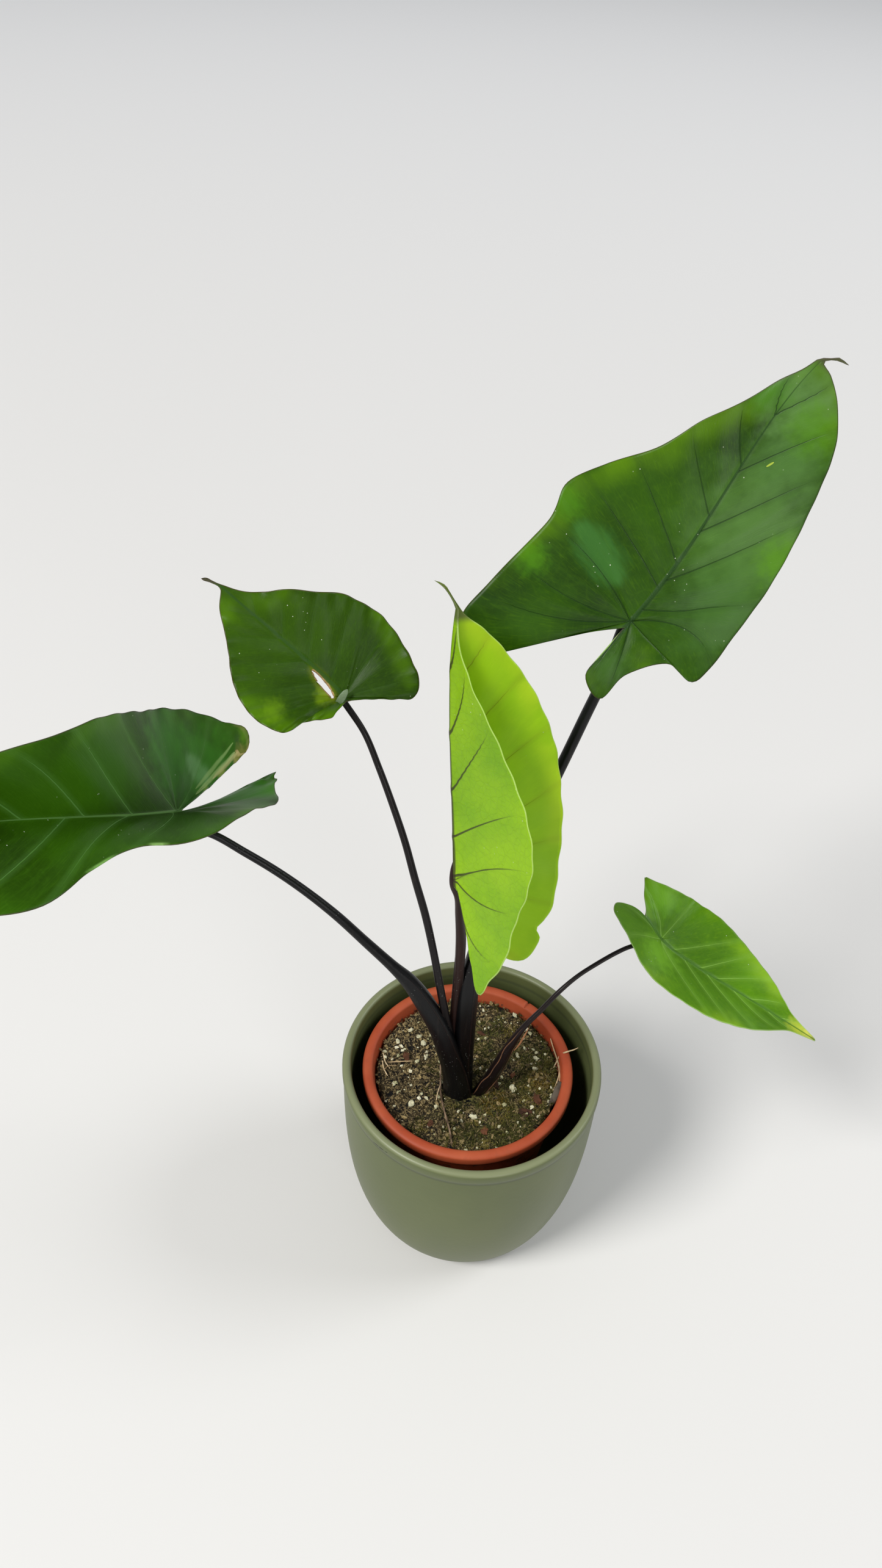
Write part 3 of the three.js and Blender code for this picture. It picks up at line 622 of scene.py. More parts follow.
def curve_through(places, steps):
    """Evenly spaced samples of a smooth curve through places, with any width run along it."""
    p = np.array(places, float)
    p = np.vstack([2 * p[0] - p[1], p, 2 * p[-1] - p[-2]])
    gap = np.maximum(np.linalg.norm(np.diff(p[:, :3], axis=0), axis=1) ** 0.5, 1e-4)
    samples, per = [], max(12, 2 * steps // (len(p) - 3))
    for i in range(1, len(p) - 2):
        a, b, c, d = p[i - 1:i + 3]
        before, here, after = gap[i - 1:i + 2]
        start = ((b - a) / before - (c - a) / (before + here) + (c - b) / here) * here
        end = ((c - b) / here - (d - b) / (here + after) + (d - c) / after) * here
        t = np.linspace(0, 1, per + 1)[:-1 if i < len(p) - 3 else None, None]
        samples.append(b + start * t + (3 * (c - b) - 2 * start - end) * t ** 2
                       + (2 * (b - c) + start + end) * t ** 3)
    return evenly(np.concatenate(samples), steps)


def axes(line):
    """Unit vectors to the right and to the back of a line at each of its samples."""
    along = np.gradient(line[:, :3], axis=0)
    along /= np.linalg.norm(along, axis=1)[:, None]
    across = np.array([1.0, 0, 0]) - along * along[:, :1]
    across /= np.linalg.norm(across, axis=1)[:, None]
    return across, np.cross(along, across)


def tube(line, sides, flat=1.0, shape=None):
    """A closed tube along samples of (x, y, z, half width), squashed front to back by flat.
    shape gives how far each side stands out, from the sample's index and the turn round it."""
    across, front = axes(line)
    flats = np.broadcast_to(flat, len(line))
    turns = around(sides)
    rings = []
    for i, (middle, half) in enumerate(zip(line[:, :3], line[:, 3])):
        reach = half * (shape(i, turns) if shape else np.ones(sides))
        rings.append(middle + np.outer(reach * np.cos(turns), across[i])
                     + np.outer(reach * np.sin(turns) * flats[i], front[i]))
    return ring_mesh(rings)


def dry_finish():
    s = Shade.start("dry_stalk")
    cloud = s.grain(240, 4, (1, 1, 0.3))
    colour = s.layers("4a3a2a", (cloud.rise(0.35, 0.65), "86705a"))
    skin = s.bump(s.grain(1500, 3, (1, 0.2, 1)), 0.25)
    return s.end(s.shell(colour, 0.85 - 0.15 * cloud, 0.3, skin))


def knotty(i, turns):
    """Joints and wrinkles of a dried stalk."""
    return 1 + 0.18 * np.sin(i * 0.9 + 2 * np.sin(i * 0.23)) * np.cos(turns * 2 + i * 0.1)


add_piece("dry_stalk", *tube(curve_through(DRY_STALK, 60), 10, shape=knotty), [dry_finish()],
          "dry_stalk", ["dry_root"])
roots = Heap()
for route in ROOTS:
    roots.add(*tube(curve_through(route, 26), 8, shape=knotty), draw.random())
roots.piece("dry_roots", crumb_finish("root_skin", "8d7350", "cdb793", 300), "dry_stalk")
add_piece("bark_strip", *tube(curve_through(BARK_STRIP, 20), 14, flat=0.35, shape=knotty),
          [crumb_finish("grey_bark", "3f3830", "857a69", 220)], "potting_soil")

fibres = Heap()
for _ in range(FIBRES):
    x, y = soil_spot(SOIL_REACH - 3)
    turn, reach = draw.uniform(0, 2 * math.pi), 1.2 + 5.5 * draw.random() ** 2
    bend = draw.uniform(-0.7, 0.7)
    route = []
    for k in range(4):
        px = x + reach * (k / 3 - 0.5) * math.cos(turn + bend * k / 3)
        py = y + reach * (k / 3 - 0.5) * math.sin(turn + bend * k / 3)
        lift = 0.4 + 0.9 * math.sin(math.pi * k / 3) * draw.random()
        route.append((px, py, soil_height(px, py) + lift, 0.06 + 0.06 * draw.random()))
    fibres.add(*tube(curve_through(route, 6), 4), draw.random())
fibres.piece("peat_fibres", crumb_finish("fibre", "33281a", "b09a6c", 300), "potting_soil")


# Leaf blades
# Five arrow shaped living blades, each grown in one piece with its stalk: a fleshy midrib that
# stands out below, side veins sunk in the upper face and a thin waved margin. A blade is laid
# out flat, along its midrib and across it, and then folded up along the midrib.
ROWS = 132
HALF_COLUMNS = 34
RIB_COLUMNS = 6
RIB_REACH = 3.2
RIB_SHARE = 0.18
BLADE_THICKNESS = 0.6
MIDRIB_RIDGE = 2.1
MIDRIB_HALF = 1.5
VEIN_RIDGE = 0.55
VEIN_HALF = 0.8
GROOVE_DEPTH = 0.3
GROOVE_HALF = 1.1
CREST_HEIGHT = 0.5
CREST_HALF = 0.9
VEIN_SLANT = 0.75
LOBE_EASE = 9
FLAT_EDGE = 12
SAME_PLACE = 0.01
EVEN_VEINS = [(0.1, 0.1), (0.28, 0.27), (0.45, 0.42), (0.56, 0.55), (0.64, 0.66), (0.73, 0.76),
              (0.82, 0.86), (0.9, 0.93)]
# An outline runs in millimetres from the notch to the drip tip, along the midrib and across it.
# A vein has the shares of the midrib and of the margin at which it starts and ends. fold is each
# half's rise in degrees, and waves holds the number, height and phase of the margin's waves.
LEAVES = {
    "large_right": {
        "midrib": [(52, 30, 407), (85, 55, 439), (96, 70, 480), (116, 67, 509)],
        "face": [(0.1, -0.8, 0.5), (-0.2, -1, 0)], "fold": (-4, 5), "lobe_drop": 8,
        "waves": (4, 1.6, 0.1), "tail": (11, -1, -1), "slot": "mature_leaf", "tip": 125,
        "quilt": 0.9, "flag": 1.9, "ripple": 0.5, "gloss": 0.16, "through": 0.08,
        "left": [(-4, 0), (-16, 10.3), (-33, 22), (-51, 36), (-48, 54), (-28, 56), (10, 55),
            (31, 58.5), (50, 48.5), (68, 33.5), (85, 24.5), (100, 13.5), (113, 7), (121, 3),
            (128, 1.3)],
        "right": [(-4, 0), (-17, 1), (-30, 2), (-33, 14), (-18, 14.5), (-3, 24), (-2, 37), (7, 40),
            (25, 39), (46, 38), (69, 36.5), (89, 32.5), (107, 26.5), (119.5, 17.5), (126, 8),
            (128, 1.3)],
        "left_veins": [(0.14, 0.16), (0.25, 0.33), (0.34, 0.4), (0.53, 0.48), (0.61, 0.595),
            (0.65, 0.68), (0.725, 0.77), (0.8, 0.85), (0.87, 0.92)],
        "right_veins": [(0.1, 0.12), (0.2, 0.17), (0.36, 0.29), (0.53, 0.4), (0.57, 0.51),
            (0.62, 0.665), (0.7, 0.745), (0.79, 0.83), (0.87, 0.91)],
        "greens": ("173200", "2a4e00", "588200"), "under": ("5f8a35", "8fb35c"),
        # Painted shade: the dark vein colour stands for shade in the sunk side veins.
        "vein": ("16300c", 0.7), "rib": "1d3c10", "rim": "3d3524",
        # Painted sheen: the grey-green patches at (60, -20), (28, -26), (90, -15) and (112, -4) on the
        # right half. The others are the blade's own colour.
        "patches": [(60, -20, 30, "547c38"), (28, -26, 22, "40662a"), (90, -15, 17, "4c7434"),
            (112, -4, 17, "5e8446"), (-20, -7, 9, "3c6024"), (-9, 50, 8, "447a06"),
            (23, 54, 9, "407407"), (107, 7, 9, "3c7005"), (106, -16, 12, "4a7c08"),
            (54, -35, 10, "4d7e10")],
        # Painted sheen: the first streak, between two veins of the left half. The second is a small
        # yellow fleck.
        "streaks": [((18, 42), (9, 17), 11, "3a6e2c"), ((83, -9), (86, -10.6), 0.14, "bccc48")]},
    "young": {
        "midrib": [(-16, -18, 293), (-19, -1, 338), (-26, 4, 383), (-23, -3, 430)],
        "face": [(0.9, -0.4, 0.2), (0.9, -0.3, -0.1)], "fold": (62, 62), "lobe_drop": 2,
        "waves": (3, 1, 0.3), "tail": (-9, 0, 12), "slot": "young_leaf", "tip": 131, "quilt": 1.3,
        "flag": 1.1, "ripple": 0.6, "gloss": 0.25, "through": 0.3,
        "left": [(-2, 0), (-15, 5.4), (-34, 13), (-52, 20.5), (-42, 27), (-26, 36.5), (-8, 42.5),
            (11, 51), (32, 55), (52, 49), (72, 37), (92, 26), (108, 13.5), (122, 4), (139, 1.3)],
        "right": [(-2, 0), (-13, 6), (-29, 14), (-41, 23), (-44, 31), (-39.5, 36.5), (-32, 38.8),
            (-26.5, 36.8), (-22, 40.5), (-12, 44.6), (6, 47), (29, 49.5), (54, 47), (78, 40.5),
            (99, 33), (116, 22.5), (127, 13), (134, 5), (139, 1.3)],
        "left_veins": [(0.13, 0.28), (0.32, 0.4), (0.54, 0.495), (0.6, 0.605), (0.67, 0.755),
            (0.755, 0.86), (0.85, 0.93)],
        "right_veins": [(0.13, 0.2), (0.32, 0.33), (0.5, 0.45), (0.58, 0.55), (0.65, 0.66),
            (0.73, 0.77), (0.82, 0.87)],
        "greens": ("8cbb00", "a2cf06", "bfdc20"), "under": ("74a500", "90bc08"),
        "vein": ("7d7a10", 0.55), "rib": "6d5a20", "rim": "b9d873", "under_vein": "2a160c",
        "patches": []},
    "upper_left": {
        "midrib": [(-72, 30, 358), (-81, 38, 365), (-102, 37, 385), (-126, 43, 405)],
        "face": [(0.2, -0.6, 0.8), (0.2, -0.9, 0.5)], "fold": (13, 13), "lobe_drop": 4,
        "waves": (3, 1.2, 0.2), "tail": (-9, 0, 4), "slot": "mature_leaf", "tip": 73, "quilt": 1,
        "flag": 0.9, "ripple": 1.3, "gloss": 0.13, "through": 0.08,
        "left": [(-2, 0), (-3, 4), (-4, 8), (-5, 12), (-1, 18), (4, 24), (5, 30), (9, 34), (16, 36),
            (27, 37), (38, 34), (47, 28), (54, 21), (61, 14.5), (69, 8), (74, 1.2)],
        "right": [(-2, 0), (-9, 10), (-15, 19), (-19, 26), (-15, 32), (-4, 35), (9, 38), (16, 38),
            (24, 36), (33, 33), (42, 26), (52, 19), (59, 11), (66, 5), (74, 1.2)],
        "left_veins": EVEN_VEINS, "right_veins": EVEN_VEINS,
        "greens": ("1c3500", "2b4a00", "507a00"), "under": ("668f42", "8db06a"),
        "vein": ("284c0e", 0.16), "rib": "2b4a16", "rim": "4a3f2a",
        "patches": [(22, 29, 6.5, "5c8208"), (7, 8, 5, "6f8c0a")],
        "slit": [(19, 1.8), (3, 4.4), 1.5],
        "crumples": [(-4, 26, 14, 3)]},
    "lower_left": {
        "midrib": [(-146, -5, 314), (-160, -52, 350), (-190, -89, 389), (-236, -128, 404)],
        "face": [(0.5, 0.5, 0.8), (0.7, -0.7, 0.3)], "fold": (34.7, 44), "lobe_drop": -8,
        "waves": (4, 1.6, 0.4), "tail": (-8, 0, -8), "slot": "mature_leaf", "tip": 178,
        "quilt": 1.1, "flag": 0.8, "ripple": 0.7, "gloss": 0.09, "through": 0.06,
        "left": [(-4, 0), (-25, 1), (-48, 3), (-60, 5), (-68, 7.5), (-69.5, 11.5), (-65, 14),
            (-62, 18), (-54, 21), (-32, 36), (-7, 39), (19, 40), (45, 40), (67, 29), (93, 34),
            (115, 42), (138, 37), (157, 25), (170, 12), (181, 1.3)],
        "right": [(-4, 0), (-29, 5.6), (-45, 9), (-50.5, 12), (-53, 10.8), (-58.5, 13.6),
            (-61.5, 17), (-64, 13.4), (-70, 13), (-74, 17.5), (-71, 24), (-63, 31), (-39, 45),
            (-12, 48), (15, 46), (41, 45), (70, 41), (97, 35), (121, 32), (142, 27), (158, 18),
            (170, 9), (181, 1.3)],
        "left_veins": [(0.1, 0.12), (0.25, 0.27), (0.4, 0.44), (0.53, 0.61), (0.62, 0.74),
            (0.735, 0.82), (0.83, 0.89)],
        "right_veins": [(0.08, 0.1), (0.25, 0.31), (0.42, 0.45), (0.52, 0.585), (0.61, 0.69),
            (0.7, 0.775), (0.79, 0.85), (0.88, 0.92)],
        "greens": ("1f3d00", "2f5804", "4d7c14"), "under": ("5f8c38", "86ac60"),
        "vein": ("5f8f45", 0.5), "rib": "567f3c", "rim": "4a4434",
        # Painted light: the first patch, at (-36, -11), lightens the upper lobe where it turns away
        # from the lamps.
        "patches": [(-36, -11, 26, "3f861c"), (-6, -28, 24, "459020"), (-44, 13, 22, "418a1e"),
            (-16, 26, 14, "35700f"), (56, -25, 22, "2f5a0c"), (-66, -13, 6, "8c8a3a"),
            (-60, -12.5, 3, "b5ad5e"), (-46, -9, 4, "a3b04a"), (-30, -5.5, 3, "8fae4a"),
            (-71, -22, 5, "5c8a18")],
        # Painted sheen: the first streak, on the upper lobe. The others are pale dry scars.
        "streaks": [((-33, -11), (-22, -22), 8, "74a866"),
            ((-20, -5), (-60, -15.5), 0.14, "b0cc80"), ((-22, -8), (-60, -20), 0.12, "9cbe70"),
            ((-38, -9), (-63, -15), 0.2, "ccc888")],
        "worn": [(-60, -14, 13, "c2b272"), (86, 33, 9, "7fb058"), (58, 30, 4, "9cc870")],
        "crumples": [(-64, -17, 11, 4), (-38, -9, 8, 2), (-64, 11, 9, 3)]},
    "small_right": {
        "midrib": [(95, 20, 217), (102, 14, 210), (137, 0, 201), (175, -17, 187)],
        "face": [(0.5, -0.3, 0.8), (0.2, -0.2, 0.9)], "fold": (12.6, 12.8), "lobe_drop": 5,
        "waves": (3, 0.9, 0.6), "tail": (1.5, -0.5, -1), "slot": "small_leaf", "tip": 200,
        "quilt": 0.4, "flag": 0.7, "ripple": 0.3, "gloss": 0.16, "through": 0.12,
        "left": [(-14, 0), (-17, 3), (-23.5, 8), (-28, 12.8), (-30.5, 15.2), (-28, 16.6), (-24, 19),
            (-13, 26), (-3, 32), (8, 33), (21, 32), (36, 28), (50, 23), (63, 17), (72, 10), (80, 5),
            (94, 1)],
        "right": [(-14, 0), (-19, 1), (-25, 5), (-31, 14), (-28, 22), (-16, 25), (-3, 27), (9, 29),
            (22, 30), (37, 29), (51, 24), (63, 18), (73, 11), (81, 5), (94, 1)],
        "left_veins": [(0.22, 0.11), (0.36, 0.355), (0.55, 0.6), (0.64, 0.66), (0.69, 0.76),
            (0.79, 0.85), (0.88, 0.92)],
        "right_veins": [(0.04, 0.09), (0.25, 0.27), (0.5, 0.61), (0.59, 0.68), (0.66, 0.77),
            (0.74, 0.86), (0.84, 0.92)],
        "greens": ("3a6400", "4e7e00", "84ae10"), "under": ("7ba544", "a5c574"),
        "vein": ("84b04a", 0.5), "rib": "3f6a16", "rim": "9cb870",
        "patches": [(-30, 15.2, 1.5, "3a3028"), (-18, 14, 13, "6aa80c"), (3, -10, 12, "74ac24"),
            (84, 0, 7, "b5bf3c"), (90, 0, 4.5, "cfc85a"), (94.5, 0, 2.4, "7a4a30")]},
}
# The small corner of the upper left blade that is turned up at the notch, pale side out.
TURNED_CORNER = [(-74.6, 27, 356.2, 1.4), (-73.4, 27.2, 358.4, 1.7), (-72.1, 27.9, 360.5, 1.6),
                 (-71, 28.9, 362.1, 1.1), (-70.3, 29.6, 363, 0.25)]


def unit(v):
    v = np.asarray(v, float)
    return v / np.linalg.norm(v, axis=-1, keepdims=True)


class Blade:
    """A leaf blade's surface over flat coordinates: x along the midrib, y across it."""

    def __init__(self, leaf):
        self.leaf = leaf
        self.midrib = np.array(leaf["midrib"], float)
        self.t = np.linspace(0, 1, 401)
        self.run = run_along(self.spot(self.t))
        self.length = self.run[-1]
        self.tail = np.array(leaf["tail"], float)
        self.reach = np.linalg.norm(self.tail)
        self.end = self.length + self.reach

    def spot(self, t):
        a, b, c, d = self.midrib
        t = np.asarray(t, float)[..., None]
        u = 1 - t
        return u ** 3 * a + 3 * u * u * t * b + 3 * u * t * t * c + t ** 3 * d

    def frame(self, x):
        """Centre, direction, face normal and leftward direction of the midrib at x."""
        x = np.asarray(x, float)
        t = np.interp(np.clip(x, 0, self.length), self.run, self.t)
        eased = np.where(x > LOBE_EASE, x, np.maximum(x + LOBE_EASE, 0) ** 2 / (4 * LOBE_EASE))
        turned = np.interp(np.clip(eased, 0, self.length), self.run, self.t)
        a, b, c, d = self.midrib
        s, u = turned[..., None], 1 - turned[..., None]
        along = unit(u * u * (b - a) + 2 * u * s * (c - b) + s * s * (d - c))
        base, tip = unit(self.leaf["face"])
        normal = base * u + tip * s
        normal = unit(normal - (normal * along).sum(-1, keepdims=True) * along)
        centre = self.spot(t)
        back = np.minimum(x, 0)[..., None]
        centre = centre + along * back - normal * self.leaf["lobe_drop"] * (back / 50) ** 2
        over = np.clip((x - self.length) / self.reach, 0, 1)[..., None]
        centre = centre + along * self.reach * 0.6 * over * (1 - over) + self.tail * over
        return centre, along, normal, np.cross(normal, along)

    def point(self, x, y, lift=0.0):
        centre, _, normal, left = self.frame(x)
        fold = np.radians(np.where(y >= 0, *self.leaf["fold"]))
        out = (y * np.cos(fold))[..., None] * left
        up = (np.abs(y) * np.sin(fold) + lift)[..., None] * normal
        return centre + out + up

    def outward(self, x, y):
        """Unit vector out of the upper face, turned with each half's own fold."""
        _, _, normal, left = self.frame(x)
        fold = np.radians(np.where(y >= 0, *self.leaf["fold"]))[:, None]
        return unit(normal * np.cos(fold) - left * np.sin(fold) * np.clip(y / 1.5, -1, 1)[:, None])

    def margin(self, outline):
        """Evenly spaced points along one half's outline, from the notch to the drip tip's end."""
        stretch = self.length / outline[-1][0]
        points = [(x * stretch if x > 0 else x, y) for x, y in outline]
        points += [(self.length + 0.35 * self.reach, 0.6),
                   (self.length + 0.7 * self.reach, self.leaf["flag"]), (self.end, 0)]
        p = np.array([points[0], *points, points[-1]], float)
        t = np.linspace(0, 1, 41)[:-1, None]
        line = []
        for a, b, c, d in zip(p, p[1:], p[2:], p[3:]):
            line.append(b + 0.5 * ((c - a) * t + (2 * a - 5 * b + 4 * c - d) * t ** 2
                                   + (3 * (b - c) + d - a) * t ** 3))
        return evenly(np.concatenate([*line, [points[-1]]]), ROWS)


def hill(far, half_width):
    """1 in the middle of a ridge or groove and falling to 0 on both sides."""
    return np.exp(-((far / half_width) ** 2))


def half_grid(blade, edge, feet, side, veins):
    """One half's rows of points from the midrib to the margin, and what each point carries:
    flat place, lift, thickness, vein number, gap between veins, way in from the margin and share
    of the way out to it."""
    leaf = blade.leaf
    t = np.linspace(0, 1, ROWS + 1)[:, None]
    reach = np.hypot(edge[:, 0] - feet, edge[:, 1])[:, None]
    rib = np.minimum(RIB_SHARE, RIB_REACH / np.maximum(reach, 1e-6))
    k = np.arange(HALF_COLUMNS + 1)[None]
    wide = rib + (1 - rib) * (k - RIB_COLUMNS) / (HALF_COLUMNS - RIB_COLUMNS)
    r = np.where(k <= RIB_COLUMNS, rib * k / RIB_COLUMNS, wide)
    x = feet[:, None] * (1 - r) + edge[:, :1] * r
    y = edge[:, 1:] * r
    rise = np.column_stack([np.zeros(ROWS + 1), y[:, 1:]])

    v = np.empty_like(x)
    marks = np.arange(len(veins) + 2, dtype=float)
    marks[[0, -1]] = 0.5, len(veins) + 0.5
    for column in range(HALF_COLUMNS + 1):
        for row in range(ROWS + 1):
            part = r[row, column]
            ends = [0, *[a + (b - a) * part for a, b in veins], 1]
            v[row, column] = np.interp(t[row, 0], ends, marks)
    xt, xr = np.gradient(x)
    yt, yr = np.gradient(y)
    vt, vr = np.gradient(v)
    area = xt * yr - xr * yt
    area = np.where(np.abs(area) < 1e-3, 1e-3, area)
    slope = np.hypot((vt * yr - vr * yt) / area, (xt * vr - xr * vt) / area)
    gap = np.clip(1 / np.maximum(slope, 1e-3), 1, 40)
    far = np.abs(v - np.round(v)) * gap

    fade = np.minimum(1, edge[:, 1:] / FLAT_EDGE)
    count, height, phase = leaf["waves"]
    across = np.sin(math.pi * np.minimum(1, r * 1.1))
    bulge = across * np.sin(math.pi * v) ** 2 * np.clip(gap / 14, 0.3, 1)
    groove = hill(far, GROOVE_HALF) * (1 - r ** 2)
    wave = np.sin(2 * math.pi * (count * t + phase)) * r ** 3
    ripple = np.sin(2 * math.pi * (11 * t + 3 * phase)) * r ** 6 * np.sin(40 * t)
    lift = fade * (leaf["quilt"] * bulge - GROOVE_DEPTH * groove + height * wave
                   + leaf["ripple"] * ripple)
    along = np.clip(1 - np.abs(x) / blade.length, 0, 1)
    lift = lift + CREST_HEIGHT * along ** 0.5 * hill(rise, CREST_HALF) * fade
    thin = BLADE_THICKNESS * (1 - 0.45 * r ** 4)
    ridge = MIDRIB_RIDGE * along * hill(rise, MIDRIB_HALF)
    vein = VEIN_RIDGE * fade * hill(far, VEIN_HALF) * (1 - r)
    depth = thin + np.maximum(ridge, vein)
    inward = (1 - r) * np.maximum(reach, 0.1)
    return np.stack([x, side * y, lift, depth, v, gap, inward, r])


def torn_slit(slit, x, y):
    """How far flat places are outside a pointed slit between two places, in millimetres, and
    the nearest places on its edge."""
    start, end, half_width = np.array(slit[0], float), np.array(slit[1], float), slit[2]
    axis = end - start
    place = np.column_stack([x, y])
    t = np.clip((place - start) @ axis / (axis @ axis), 0.001, 0.999)
    middle = start + t[:, None] * axis
    away = place - middle
    far = np.linalg.norm(away, axis=1)
    half = half_width * np.sin(math.pi * t) ** 0.6
    edge = middle + away / np.maximum(far, 1e-6)[:, None] * half[:, None]
    return far - half, edge


def blade_mesh(leaf):
    """A closed blade: its points, faces, which are on the underside, and its fields."""
    blade = Blade(leaf)
    edges = [blade.margin(leaf[half]) for half in ("left", "right")]
    middle = sum(edges) / 2
    feet = np.maximum(0, middle[:, 0] - VEIN_SLANT * middle[:, 1])
    known, places, quads = {}, [], []
    for side, half, edge in zip((1, -1), ("left", "right"), edges):
        grid = half_grid(blade, edge, feet, side, leaf[half + "_veins"])
        keys = np.round(grid[:2] / SAME_PLACE).astype(int)
        index = np.empty(grid.shape[1:], int)
        for i, j in np.ndindex(index.shape):
            key = tuple(keys[:, i, j])
            if key not in known:
                known[key] = len(places)
                places.append(grid[:, i, j])
            index[i, j] = known[key]
        a, b = index[:-1, :-1].ravel(), index[:-1, 1:].ravel()
        c, d = index[1:, 1:].ravel(), index[1:, :-1].ravel()
        for quad in zip(a, b, c, d) if side < 0 else zip(a, d, c, b):
            ring = [p for n, p in enumerate(quad) if p != quad[n - 1]]
            if len(set(ring)) == len(ring) > 2:
                quads.append(tuple(int(p) for p in ring))
    x, y, lift, depth, v, gap, inward, part = np.array(places).T
    torn = np.full(len(x), 99.0)
    if "slit" in leaf:
        torn, edge = torn_slit(leaf["slit"], x, y)
        middles = np.array([(x[list(ring)].mean(), y[list(ring)].mean()) for ring in quads])
        open_far = torn_slit(leaf["slit"], *middles.T)[0]
        quads = [ring for ring, far in zip(quads, open_far)
                 if far > 0 and max(torn[list(ring)]) > 0]
        x, y = np.where(torn < 0, edge.T, (x, y))
    for cx, cy, reach, height in leaf.get("crumples", []):
        lumpy = np.array([noise.noise(Vector((a, b, 5)) * 0.15) for a, b in zip(x, y)])
        lift = lift + hill(np.hypot(x - cx, y - cy), reach) * height * lumpy
    top = blade.point(x, y, lift)
    under = top - blade.outward(x, y) * depth[:, None]
    count = len(top)
    faces = quads + [tuple(p + count for p in ring[::-1]) for ring in quads]
    below = [0] * len(quads) + [1] * len(quads)
    sides = {(p, ring[(n + 1) % len(ring)]) for ring in quads for n, p in enumerate(ring)}
    for p, q in sides:
        if (q, p) not in sides:
            faces.append((q, p, p + count, q + count))
            below.append(0)
    carried = {"vein": v, "gap": gap, "along": x, "across": y, "inward": inward, "part": part,
               "torn": torn}
    fields = {field: np.tile(values, 2) for field, values in carried.items()}
    return np.concatenate([top, under]), faces, below, fields


class Leafy(Shade):
    """A Shade for blades, with the masks that follow a blade's own veins and margin."""

    def vein_far(self):
        """Distance in millimetres to the nearest side vein."""
        return self.sum("PINGPONG", self.field("vein"), 0.5) * self.field("gap")

    def side_vein(self, half_width):
        """Side veins that grow thinner outward and fade before the margin."""
        part = self.field("part")
        far = self.vein_far() + part * half_width * 0.6
        return far.rise(half_width, half_width * 0.4) * part.rise(0.97, 0.6)

    def rib(self, half_width):
        """The midrib, which grows thinner toward the drip tip."""
        thinner = self.field("along") * (half_width / 170)
        return (abs(self.field("across")) + thinner).rise(half_width, half_width * 0.6)

    def flat(self):
        return self.node("CombineXYZ", {0: self.field("along"), 1: self.field("across")})

    def streaks(self, across, along, detail=3.0):
        """Fine lines that run from the midrib to the margin beside the side veins."""
        place = self.node("CombineXYZ", {
            0: self.field("vein") * across, 1: self.field("part") * along,
            2: self.field("across").rise(-0.1, 0.1) * 7})
        return self.node("TexNoise", {0: place, 2: 1.0, 3: detail})

    def net(self, cells):
        """The net of fine veins, cells of it to the millimetre."""
        edge = self.node("TexVoronoi", {0: self.flat(), 2: cells}, feature="DISTANCE_TO_EDGE")
        return edge.rise(0.07, 0.015)

    def from_spot(self, x, y):
        """Distance in millimetres from a place on the flat blade."""
        spots = {0: self.flat(), 1: (x, y, 0.0)}
        return self.node("VectorMath", spots, 1, operation="DISTANCE")

    def patch(self, x, y, radius):
        """A soft patch round a place on the flat blade."""
        lumps = self.node("TexNoise", {0: self.flat(), 2: min(0.35, 3 / radius)}) - 0.5
        return (self.from_spot(x, y) + lumps * radius).rise(radius * 1.4, radius * 0.1)

    def streak(self, start, end, radius):
        """A soft long patch between two places on the flat blade."""
        spare = self.from_spot(*start) + self.from_spot(*end) - math.dist(start, end)
        soft = (spare + (self.streaks(9, 5) - 0.5) * radius).rise(radius * 1.3, 0)
        return soft * soft

    def tip(self, leaf):
        """The dry end of the drip tip, as one of the layers of a colour."""
        return self.field("along").rise(leaf["tip"], leaf["tip"] + 5) * 0.8, "4c4438"

    def waxy(self, colour, rough, gloss, skin, glow, through):
        """The finished material of a waxy skin that lets a little light through."""
        sides = {0: through, 1: self.shell(colour, rough, gloss, skin),
                 2: self.node("BsdfTranslucent", {"Color": glow})}
        return self.end(self.node("MixShader", sides))


